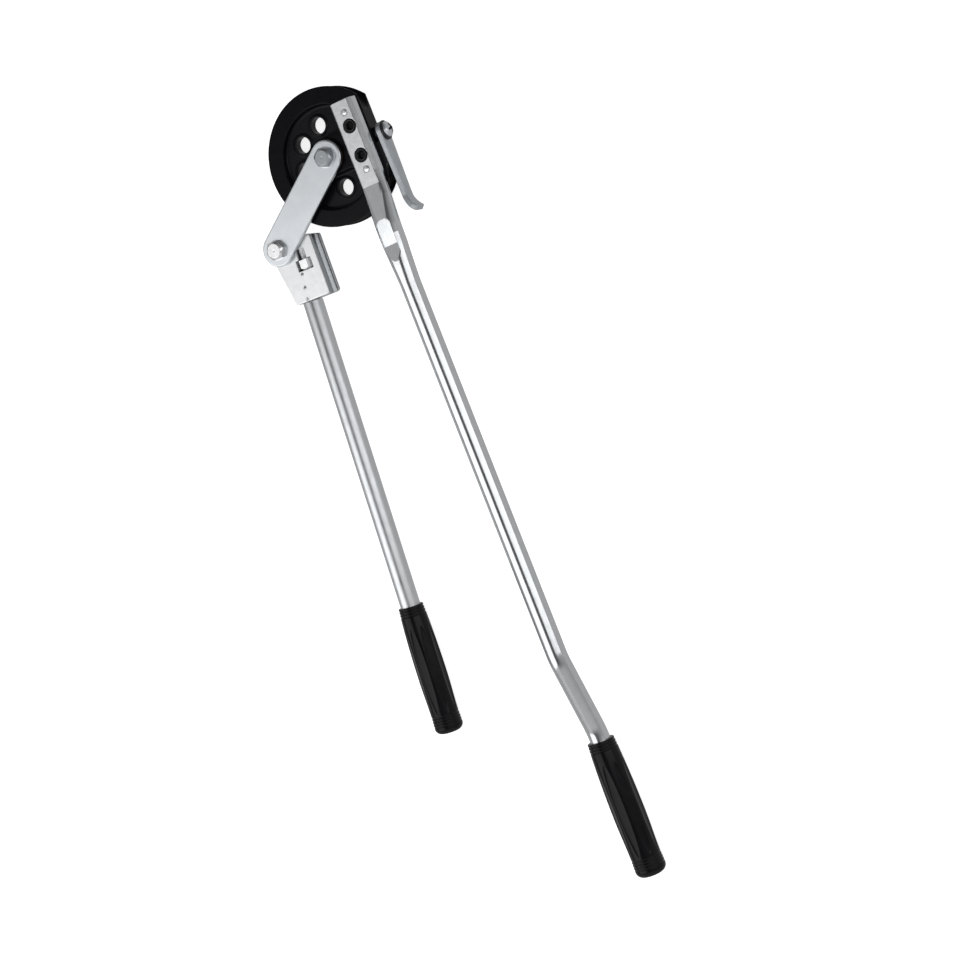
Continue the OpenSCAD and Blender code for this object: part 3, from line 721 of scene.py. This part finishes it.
def make_long_handle():
    end = -low_y - grip_lead - long_grip_len + grip_end_t
    low_bend, high_bend = -low_y - 8, -drop_start + 8
    pressed = round_y - 2
    ys = steps((end - 1, low_bend, 5), (low_bend, high_bend, 1.6), (high_bend, pressed, 5),
               (pressed, tongue_top + 1, 0.7))
    # The flank and the upper half have the finer details
    half = tongue_w / 2 + 1
    xs = steps((handle_x - half, handle_x + 5, 0.7), (handle_x + 5, handle_x + half, 0.35))
    zs = steps((mid_z - handle_r - 1, wheel_t, 0.7), (wheel_t, handle_z + handle_r + 1, 0.35))
    piece("long_handle_tube", skin(handle_field, xs, ys, zs), ROOT, ["long_handle"],
          [tube_zinc, milled_zinc], handle_finish)


# Grips

def grip_radius(t, r_max):
    """Radius of a grip at t, from 0 at its collar to 1 at its end."""
    if t < widest_t:
        return r_max * (1 - start_loss * (1 - t / widest_t) ** 2)
    if t < neck_t:
        return r_max * (1 - neck_loss * math.sin(math.pi / 2 * (t - widest_t) / (neck_t - widest_t)) ** 2)
    rise = math.sin(math.pi / 2 * min(1, (t - neck_t) / (end_t - neck_t)))
    return r_max * (1 - neck_loss + (neck_loss - end_loss) * rise)


def grip_shape(length, r_max):
    dome = 0.42 * r_max
    collar = 2.7
    rings = [collar + ring_pitch * i for i in range(3)]
    rings += [length - dome - 4 * ring_pitch + 0.7 + ring_pitch * i for i in range(4)]
    flute_half = 0.34 * length

    def ring_cut(z):
        return sum(ring_depth * math.exp(-((z - ring) / ring_half_w) ** 2) for ring in rings)

    def radius_at(r, z, angles):
        radii = np.full(len(angles), float(r))
        share = 1 - ((z - length / 2) / flute_half) ** 2
        if r < 0.8 * r_max or share <= 0:
            return radii
        half_w = flute_share * r_max * share ** 0.55
        pitch_a = 2 * math.pi / flute_count
        across = (np.mod(angles + pitch_a / 2, pitch_a) - pitch_a / 2) * r
        inside = np.clip(1 - (across / half_w) ** 2, 0, 1)
        return radii - flute_depth * share ** 0.4 * inside ** 0.8

    start_r, end_r = grip_radius(0, r_max), grip_radius(1, r_max)
    body_end = length - dome
    count = round(body_end / 0.5)
    body = [body_end * i / count for i in range(count + 1)]
    bore = handle_r + 0.02
    outline = [(0, length - grip_end_t), (bore, length - grip_end_t), (bore, 0), (start_r - 0.8, 0)]
    outline += [(start_r - 0.35, 0.15), (start_r - 0.1, 0.4)]
    outline += [(grip_radius(z / length, r_max) - ring_cut(z), z) for z in body if z > 0.6]
    outline += [(end_r - dome + dome * math.cos(a), body_end + dome * math.sin(a))
                for a in (math.pi / 2 * i / 16 for i in range(1, 17))]
    outline.append((0, length))
    return lathe(outline, 256, radius_at)


def make_grips():
    short = placed(grip_shape(short_grip_len, short_grip_r), SHORT_HANDLE_PLACE @ at(0, 0, short_tube))
    piece("short_grip_moulding", short, SHOE, ["short_grip"], [grip_black], crease=60)
    long = placed(grip_shape(long_grip_len, long_grip_r), LONG_GRIP_PLACE)
    piece("long_grip_moulding", long, ROOT, ["long_grip"], [grip_black], crease=60)


# The link

def link_field(x, y, z):
    plate = capsule(x, y, link_w / 2, link_w / 2, link_len)
    plate = meet(plate, np.abs(z - (link_z + link_top) / 2) - (link_top - link_z) / 2, 1.4)
    eyes = np.minimum(np.hypot(x, y), np.hypot(x - link_len, y)) - pivot_r - bush_wall
    return cut(plate, eyes, 0.3)


def make_link():
    half = link_w / 2 + 1
    shape = skin(link_field, steps((-half, link_len + half, 0.7)), steps((-half, half, 0.7)),
                 steps((link_z - 0.6, link_top + 0.6, 0.5)))
    piece("link_bar", placed(shape, LINK_PLACE), LINK, ["link_plate"], [link_zinc])


# Bolts, washers and pins

def hex_field(x, y, z, flats, height, edge=0.25):
    """A hexagon head with its top corners turned to a chamfer and a small dimple in the middle."""
    head = meet(hexagon(x, y, flats), np.abs(z - height / 2) - height / 2, edge)
    rho = np.hypot(x, y)
    slope = math.radians(42)
    cone = (rho - 0.41 * flats) * math.sin(slope) + (z - height) * math.cos(slope)
    head = meet(head, cone, edge)
    dimple_r, dimple_depth = 2.0, 0.1
    dimple = np.sqrt(rho ** 2 + (z - height - dimple_r + dimple_depth) ** 2) - dimple_r
    return cut(head, dimple, 0.3)


def bolt_shape(shank):
    """A pivot bolt, with the underside of its head at 0."""
    whole = shank + pivot_thread

    def field(x, y, z):
        head = hex_field(x, y, z, bolt_flats, bolt_head_h)
        rho = np.hypot(x, y)
        body = meet(rho - pivot_r, np.abs(z + shank / 2) - shank / 2 - 0.5)
        body = join(body, meet(rho - pivot_core_r, np.abs(z + whole / 2) - whole / 2, 0.4))
        return join(head, body)

    half = bolt_flats / 2 / math.cos(math.pi / 6) + 0.7
    across = steps((-half, half, 0.35))
    return skin(field, across, across, steps((-whole - 1, -1, 1.2), (-1, bolt_head_h + 0.7, 0.35)))


def make_bolts():
    pivot = placed(bolt_shape(bolt_z - hub_z), LINK_PLACE @ at(0, 0, bolt_z))
    piece("pivot_bolt_hex", pivot, ROOT, ["pivot_bolt"], [dull_bolt])
    pin = placed(bolt_shape(bolt_z - shoe_high), SHOE_PLACE @ at(0, 0, bolt_z))
    piece("link_pin_bolt_hex", pin, SHOE, ["link_pin_bolt"], [bright_bolt])


def ring_shape(r_out, r_in, height, edge):
    """A washer with its corners broken."""
    outline = [(r_in, 0), (r_out, 0), (r_out, height), (r_in, height)]
    wrapped = rounded([outline[-1], *outline, outline[0]], edge, 3)[1:-1]
    return lathe(wrapped)


def make_rings():
    rings = (
        ("pivot_washer", washer_r, link_top, LINK_PLACE, ROOT, "dull_bolt", link_zinc),
        ("link_pin_washer", washer_r, link_top, SHOE_PLACE, SHOE, "bright_bolt", link_zinc),
        ("wheel_thrust_washer", hub_washer_r, hub_z, Matrix(), ROOT, "bronze", bronze),
        ("pin_thrust_washer", shoe_lug_r, shoe_high, SHOE_PLACE, SHOE, "bronze", bronze),
    )
    for node, r_out, z, place, body, slot, material in rings:
        low, high = box_mm(node)
        shape = placed(ring_shape(r_out, pivot_r + washer_gap, high[2] - low[2], 0.25), place @ at(0, 0, z))
        piece(node + "_ring", shape, body, [node], [material])


def cap_screw_field(x, y, z):
    """A socket head screw with its top at 0."""
    rho = np.hypot(x, y)
    head = meet(rho - screw_head_r, np.abs(z + screw_head_h / 2) - screw_head_h / 2 - 0.1, 0.9)
    # A faint knurl around the head
    head = head + 0.12 * np.sin(knurl_count * np.arctan2(y, x)) * (rho > screw_head_r - 1.5) * (z < -0.9)
    # The ring around the socket, the socket's broken edge and the socket
    head = cut(head, np.hypot(rho - screw_ring_r, z - 0.35) - 0.55, 0.1)
    head = cut(head, (rho - 4.2) * 0.7 - z * 0.7, 0.15)
    head = cut(head, meet(hexagon(x, y, screw_socket_flats), -screw_socket_depth - z), 0.2)
    return join(head, meet(rho - screw_r, np.abs(z + 15) - 10, 0.3))


def make_tongue_fasteners():
    across = steps((-screw_head_r - 0.7, screw_head_r + 0.7, 0.3))
    screw = skin(cap_screw_field, across, across, steps((-26, -6, 1.5), (-6, 0.8, 0.3)))
    screws = stack([placed(screw, at(handle_x, y, tongue_top_z, 0.4 * y)) for y in screw_ys])

    def ring_highlight(centres):
        """The ring around the socket is painted a lighter metallic grey: a painted highlight on the ring."""
        x, y, z = centres.T
        rho = np.min([np.hypot(x - handle_x, y - screw_y) for screw_y in screw_ys], 0)
        return ((np.abs(rho - screw_ring_r) < 0.4) & (z > tongue_top_z - 0.8)).astype(int)

    piece("tongue_cap_screws", screws, ROOT, ["tongue_screws"], [screw_black, screw_ring_highlight],
          ring_highlight)
    dowel = lathe(rounded([(0, -dowel_len), (dowel_r, -dowel_len), (dowel_r, -0.35), (0, -0.1)], 0.45), 64)
    dowels = stack([placed(dowel, at(handle_x, y, tongue_top_z)) for y in dowel_ys])
    piece("tongue_dowel_pins", dowels, ROOT, ["tongue_dowels"], [bright_bolt])


# The shoe

def shoe_field(x, y, z):
    body = meet(polygon(SHOE_OUTLINE, x, y), np.abs(z - mid_z) - (shoe_high - shoe_low) / 2, 0.7)
    groove = np.hypot(x - shoe_face_x - groove_out, z - mid_z) - groove_r
    body = cut(body, groove, 0.6)
    head = adjuster_flats / 2 / math.cos(math.pi / 6) + 0.15
    wide = notch(x, y, z, head, adjuster_head_y - 0.3)
    narrow = notch(x, y, z, adjuster_d / 2 + 0.3, pocket_top)
    body = cut(body, join(wide, narrow), 0.35)
    for (hole_x, hole_y), hole_size, edge in ((short_pin, roll_pin_r, 0.25), (long_pin, roll_pin_r, 0.25),
                                              (set_screw, set_screw_r, 0.2)):
        away = np.hypot(x - hole_x, y - hole_y) - hole_size - 0.02
        body = cut(body, meet(away, mid_z - z), edge)
    return cut(body, meet(np.hypot(x, y) - shoe_thread_r, shoe_high - bolt_hole_depth - z))


def notch(x, y, z, half_w, top):
    """A slot in the shoe's near face, from a depth below the pin to the pocket's bottom."""
    across = meet(np.abs(x - adjuster_x) - half_w, adjuster_z - half_w - z, 1.0)
    return meet(across, np.abs(-y - (top + pocket_bottom) / 2) - (pocket_bottom - top) / 2, 0.8)


SHOE_OUTLINE = hull(
    circle(0, 0, shoe_lug_r)
    + circle(shoe_face_x - shoe_tip_r, shoe_top - shoe_tip_r, shoe_tip_r, 60)
    + circle(shoe_face_x - shoe_corner_r, shoe_corner_r - shoe_bottom, shoe_corner_r, 90)
    + circle(-shoe_foot_x + shoe_foot_r, shoe_foot_r - shoe_bottom, shoe_foot_r, 40))


def shoe_groove_shade(centres):
    """The groove and the edges beside it are painted a darker grey than the ground faces: painted shade in
    the groove and along the face beside it.
    """
    to_shoe = np.array(SHOE_PLACE.inverted())
    x = centres @ to_shoe[0, :3] + to_shoe[0, 3]
    in_groove = np.hypot(x - shoe_face_x - groove_out, centres[:, 2] - mid_z) < groove_r + 0.4
    return (in_groove | (x > shoe_face_x - 0.6)).astype(int)


def make_shoe():
    shape = skin(shoe_field, steps((-shoe_lug_r - 1, shoe_face_x + 1, 0.6)),
                 steps((-shoe_bottom - 1, shoe_lug_r + 1, 0.6)), steps((shoe_low - 1, shoe_high + 1, 0.6)))
    piece("shoe_casting", placed(shape, SHOE_PLACE), SHOE, ["shoe_block"],
          [shoe_zinc, shaded_groove_zinc], shoe_groove_shade)


def make_adjusting_bolt():
    core_r = 0.85 * adjuster_d / 2
    whole = adjuster_head_y - pocket_top + adjuster_thread

    def field(x, y, z):
        head = hex_field(x, y, z, adjuster_flats, adjuster_head_h)
        rho = np.hypot(x, y)
        phase = np.mod(z / adjuster_pitch - np.arctan2(y, x) / (2 * math.pi), 1)
        crest = 0.5 * adjuster_pitch * (np.abs(phase - 0.5) - 0.25)
        thread = (rho - (adjuster_d / 2 + core_r) / 2 + crest) * 0.8
        body = meet(thread, np.abs(z + whole / 2) - whole / 2, 0.3)
        return join(head, body, 0.3)

    half = adjuster_flats / 2 / math.cos(math.pi / 6) + 0.7
    across = steps((-half, half, 0.3))
    shape = skin(field, across, across, steps((-whole - 1, adjuster_head_h + 0.7, 0.25)))
    turned = Matrix.Rotation(adjuster_turn, 4, "Y") @ TOWARDS_GRIP
    place = at(adjuster_x, -adjuster_head_y, adjuster_z) @ turned
    piece("adjusting_bolt_hex", placed(shape, SHOE_PLACE @ place), SHOE, ["adjusting_bolt"],
          [bright_bolt])


def make_shoe_pins():
    across = steps((-2, 2, 0.16))
    shapes = []
    for place, low in ((short_pin, mid_z), (long_pin, shoe_low)):
        def field(x, y, z, low=low):
            """A sheet rolled to a pin, with its slot."""
            rho = np.hypot(x, y)
            ring = meet(rho - roll_pin_r, roll_pin_bore_r - rho, 0.1)
            ring = cut(ring, meet(np.abs(y) - roll_pin_slot / 2, -x))
            return meet(ring, np.abs(z - (low + shoe_high) / 2) - (shoe_high - low) / 2, 0.15)

        zs = steps((low - 0.5, low + 1, 0.3), (low + 1, shoe_high - 1, 1.5),
                   (shoe_high - 1, shoe_high + 0.5, 0.16))
        shapes.append(placed(skin(field, across, across, zs), SHOE_PLACE @ at(*place)))
    piece("roll_pins", stack(shapes), SHOE, ["shoe_roll_pins"], [pin_steel])
    top = shoe_high - 0.3
    bottom = mid_z + spigot_r + 0.3
    outline = [(0, bottom), (set_screw_r, bottom), (set_screw_r, top), (1.25, top), (1.1, top - 1.5),
               (0, top - 1.9)]
    screw = placed(lathe(rounded(outline, 0.2), 48), SHOE_PLACE @ at(*set_screw))
    piece("handle_locking_screw", screw, SHOE, ["handle_set_screw"], [bright_bolt])


def make_short_handle():
    end = short_tube + short_grip_len - grip_end_t
    outline = [(0, -spigot_len), (spigot_r, -spigot_len), (spigot_r, shoulder), (handle_r, shoulder),
               (handle_r, end), (0, end)]
    tube = placed(lathe(rounded(outline, 0.6), 128), SHORT_HANDLE_PLACE)
    piece("short_handle_tube", tube, SHOE, ["short_handle"], [short_zinc])


# The latch

def latch_field(x, y, z):
    u, v, w = x - spacer_x, y - latch_y, z - mid_z
    middle_r = latch_bend_r - latch_t / 2
    down = -(v + latch_len)
    bend_u = latch_bend_r - u
    angle = np.arctan2(down, bend_u)
    in_bend, in_tip = down > 0, angle > latch_bend_a
    bent = np.abs(np.hypot(bend_u, down) - middle_r)
    tip = np.abs(bend_u * math.cos(latch_bend_a) + down * math.sin(latch_bend_a) - middle_r)
    strip = np.where(in_bend, np.where(in_tip, tip, bent), np.abs(u - latch_t / 2))
    # The strip's plan, on its own length as if it were laid flat
    past = down * math.cos(latch_bend_a) - bend_u * math.sin(latch_bend_a)
    bent_len = middle_r * latch_bend_a
    along = latch_len + np.where(in_bend, np.where(in_tip, bent_len + past, middle_r * angle), down)
    end = latch_len + bent_len + latch_tip_len
    eye = capsule(along, w, latch_r, latch_end_r, latch_len)
    half_w = np.interp(along, (latch_len, end - latch_tab_len), (latch_end_r, latch_end_r + latch_tab_flare))
    tab = meet(meet(np.abs(w) - half_w, along - end, 2.5), latch_len - 3 - along)
    body = meet(strip - latch_t / 2, join(eye, tab, 0.5), 1.0)
    return cut(body, np.hypot(v, w) - latch_bush_r - 0.05, 0.3)


def make_latch():
    low, high = box_mm("latch")
    xs, ys, zs = (steps((a - 0.7, b + 0.7, step)) for a, b, step in zip(low, high, (0.55, 0.7, 0.6)))
    piece("latch_strip", skin(latch_field, xs, ys, zs), LATCH, ["latch"], [latch_steel])


def cross(x, y):
    """The plan of the latch screw's cross recess."""
    first = meet(np.abs(x) - cross_half_w, np.abs(y) - cross_half_len)
    return np.minimum(first, meet(np.abs(y) - cross_half_w, np.abs(x) - cross_half_len))


def screw_dome(rho, z):
    """The rounded top of the latch screw's head, whose underside is at 0."""
    return np.hypot(rho, z - latch_head_h + latch_dome_r) - latch_dome_r


def make_latch_fasteners():
    low, high = box_mm("latch_spacer")
    spacer = placed(ring_shape((high[2] - low[2]) / 2, latch_bush_r, high[0] - low[0], 0.4), FLAT_PLACE)
    # The spacer gets the socket screws' black, which paints the shade in the gap between the wheel's flat and
    # the latch
    piece("latch_spacer_ring", spacer, ROOT, ["latch_spacer"], [screw_black])
    low, high = box_mm("latch_washer")
    washer = ring_shape((high[2] - low[2]) / 2, 3.0, high[0] - low[0], 0.5)
    washer = placed(washer, FLAT_PLACE @ at(0, 0, low[0] - flat_x))
    piece("latch_washer_ring", washer, ROOT, ["latch_washer"], [washer_black])
    head_base = high[0] - flat_x
    whole = head_base + latch_thread
    place = FLAT_PLACE @ at(0, 0, head_base, latch_head_turn)

    def field(x, y, z):
        rho = np.hypot(x, y)
        head = meet(rho - latch_head_r, np.abs(z - latch_head_h / 2) - latch_head_h / 2, 0.5)
        head = meet(head, screw_dome(rho, z), 0.5)
        head = cut(head, meet(cross(x, y), latch_head_h - cross_depth - z), 0.25)
        return join(head, meet(rho - latch_screw_r, np.abs(z + whole / 2) - whole / 2, 0.3))

    def recess(centres):
        """The cross recess is painted black inside: painted shade in the recess."""
        to_screw = np.array(place.inverted())
        x, y, z = to_screw[:3, :3] @ centres.T + to_screw[:3, 3:]
        return ((cross(x, y) < 0.2) & (screw_dome(np.hypot(x, y), z) < -0.25) & (z > 0.5)).astype(int)

    across = steps((-latch_head_r - 0.6, latch_head_r + 0.6, 0.28))
    shape = skin(field, across, across, steps((-whole - 1, -1, 1.5), (-1, latch_head_h + 0.6, 0.28)))
    # The faces inside the cross recess take screw_black: painted shade
    piece("latch_pan_screw", placed(shape, place), ROOT, ["latch_screw"],
          [link_zinc, screw_black], recess)


def finish_kept_nodes():
    """The nodes that stay as they are: bushes inside the eyes and plugs inside the tubes."""
    kept = {"upper_bush": bronze, "lower_bush": bronze, "latch_bush": bronze, "short_end_plug": plug_black,
            "long_end_plug": plug_black}
    for node, material in kept.items():
        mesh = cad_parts[node].data
        mesh.materials.clear()
        mesh.materials.append(material)


make_wheel()
make_long_handle()
make_grips()
make_link()
make_bolts()
make_rings()
make_tongue_fasteners()
make_shoe()
make_adjusting_bolt()
make_shoe_pins()
make_short_handle()
make_latch()
make_latch_fasteners()
finish_kept_nodes()


# The stage

CAMERA_PLACE = Vector((0.8747, -0.2813, 1.7048))
CAMERA_BACK = Vector((0.4506, 0.0290, 0.8923)).normalized()
CAMERA_UP = Vector((0.3148, 0.9301, -0.1892))
CAMERA_LENS = 75.0
FLOOR_HALF = 6.0
FLOOR_WHITE = 0.9
FLOOR_GLOW = 0.8
WORLD_LIGHT = 0.45
# The studio as a mirror shows it: from the left at 0 to the right at 1, then the floor and the near wall
STUDIO_GREYS = ((0.0, 0.27), (0.15, 0.34), (0.28, 0.42), (0.38, 0.1), (0.5, 0.08), (0.62, 0.1), (0.8, 0.22),
                (1.0, 0.33))
FLOOR_GREY = 0.42
NEAR_GREY = 0.6
# The Y of the directions between which the near wall comes in
NEAR_WALL = (-0.4, -0.65)


def make_camera():
    right = CAMERA_UP.cross(CAMERA_BACK).normalized()
    up = CAMERA_BACK.cross(right)
    turned = Matrix((right, up, CAMERA_BACK)).transposed().to_4x4()
    data = bpy.data.cameras.new("camera")
    data.lens = CAMERA_LENS
    data.sensor_width = 36
    data.clip_end = 50
    camera = bpy.data.objects.new("camera", data)
    camera.matrix_world = Matrix.Translation(CAMERA_PLACE) @ turned
    bpy.context.scene.collection.objects.link(camera)
    bpy.context.scene.camera = camera


def mirrored(tree, path):
    """1 for the rays that metal and glass send out, else 0."""
    made = tree.nodes.new("ShaderNodeMath")
    made.operation = "MAXIMUM"
    tree.links.new(path.outputs["Is Glossy Ray"], made.inputs[0])
    tree.links.new(path.outputs["Is Transmission Ray"], made.inputs[1])
    return made.outputs[0]


def mixed(tree, factor, first, second):
    """The first shader where the factor is 0, the second where it is 1."""
    mix = tree.nodes.new("ShaderNodeMixShader")
    tree.links.new(factor, mix.inputs["Fac"])
    tree.links.new(first, mix.inputs[1])
    tree.links.new(second, mix.inputs[2])
    return mix.outputs[0]


def make_floor():
    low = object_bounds()[0][2]
    mesh = bpy.data.meshes.new("floor")
    corners = [(x * FLOOR_HALF, y * FLOOR_HALF, low) for x, y in ((-1, -1), (1, -1), (1, 1), (-1, 1))]
    mesh.from_pydata(corners, [], [(0, 1, 2, 3)])
    floor = bpy.data.objects.new("floor", mesh)
    bpy.context.scene.collection.objects.link(floor)
    material = bpy.data.materials.new("floor_white")
    material.use_nodes = True
    tree = material.node_tree
    shader = tree.nodes["Principled BSDF"]
    shader.inputs["Base Color"].default_value = (FLOOR_WHITE, FLOOR_WHITE, FLOOR_WHITE, 1)
    shader.inputs["Roughness"].default_value = 0.9
    shader.inputs["Specular IOR Level"].default_value = 0.0
    glow = tree.nodes.new("ShaderNodeEmission")
    glow.inputs["Strength"].default_value = FLOOR_GLOW
    both = tree.nodes.new("ShaderNodeAddShader")
    tree.links.new(shader.outputs[0], both.inputs[0])
    tree.links.new(glow.outputs[0], both.inputs[1])
    # Metal shows the floor as grey as the studio around it
    studio = tree.nodes.new("ShaderNodeEmission")
    studio.inputs["Strength"].default_value = FLOOR_GREY
    path = tree.nodes.new("ShaderNodeLightPath")
    surface = mixed(tree, path.outputs["Is Camera Ray"], shader.outputs[0], both.outputs[0])
    surface = mixed(tree, mirrored(tree, path), surface, studio.outputs[0])
    tree.links.new(surface, tree.nodes["Material Output"].inputs["Surface"])
    mesh.materials.append(material)


def make_world():
    """White to the camera, plain to the rest, and to mirrored rays a studio with a dark gap overhead."""
    world = bpy.data.worlds.new("studio")
    bpy.context.scene.world = world
    world.use_nodes = True
    tree = world.node_tree
    plain = tree.nodes["Background"]
    plain.inputs["Color"].default_value = (1, 1, 1, 1)
    plain.inputs["Strength"].default_value = WORLD_LIGHT
    white = tree.nodes.new("ShaderNodeBackground")
    white.inputs["Color"].default_value = (1, 1, 1, 1)
    studio = tree.nodes.new("ShaderNodeBackground")
    direction = tree.nodes.new("ShaderNodeSeparateXYZ")
    tree.links.new(tree.nodes.new("ShaderNodeTexCoord").outputs["Generated"], direction.inputs[0])
    spread = tree.nodes.new("ShaderNodeMapRange")
    spread.inputs["From Min"].default_value = -1
    tree.links.new(direction.outputs["X"], spread.inputs["Value"])
    ramp = tree.nodes.new("ShaderNodeValToRGB")
    marks = ramp.color_ramp.elements
    for place, _ in STUDIO_GREYS[1:-1]:
        marks.new(place)
    for mark, (_, grey) in zip(marks, STUDIO_GREYS):
        mark.color = (grey, grey, grey, 1)
    tree.links.new(spread.outputs["Result"], ramp.inputs["Fac"])
    tree.links.new(ramp.outputs["Color"], studio.inputs["Color"])
    # The studio's near wall, which the slanted end of the long handle shows
    near = tree.nodes.new("ShaderNodeBackground")
    near.inputs["Color"].default_value = (NEAR_GREY, NEAR_GREY, NEAR_GREY, 1)
    nearness = tree.nodes.new("ShaderNodeMapRange")
    nearness.inputs["From Min"].default_value, nearness.inputs["From Max"].default_value = NEAR_WALL
    tree.links.new(direction.outputs["Y"], nearness.inputs["Value"])
    around = mixed(tree, nearness.outputs["Result"], studio.outputs[0], near.outputs[0])
    path = tree.nodes.new("ShaderNodeLightPath")
    surface = mixed(tree, mirrored(tree, path), plain.outputs[0], around)
    surface = mixed(tree, path.outputs["Is Camera Ray"], surface, white.outputs[0])
    tree.links.new(surface, tree.nodes["World Output"].inputs["Surface"])


def make_lamp(name, place, target, size, watts):
    data = bpy.data.lights.new(name, "AREA")
    data.shape = "RECTANGLE"
    data.size, data.size_y = size
    data.energy = watts
    lamp = bpy.data.objects.new(name, data)
    lamp.location = place
    lamp.rotation_euler = (Vector(target) - Vector(place)).to_track_quat("-Z", "Y").to_euler()
    bpy.context.scene.collection.objects.link(lamp)


make_camera()
make_floor()
make_world()
make_lamp("soft_box_left", (-1.36, -0.7, 1.71), (0.02, -0.7, 0), (1.8, 2.4), 14.4)
make_lamp("soft_box_right", (1.69, -0.35, 1.43), (0.02, -0.35, 0), (1.0, 2.6), 8)
bpy.context.scene.view_settings.view_transform = "Standard"
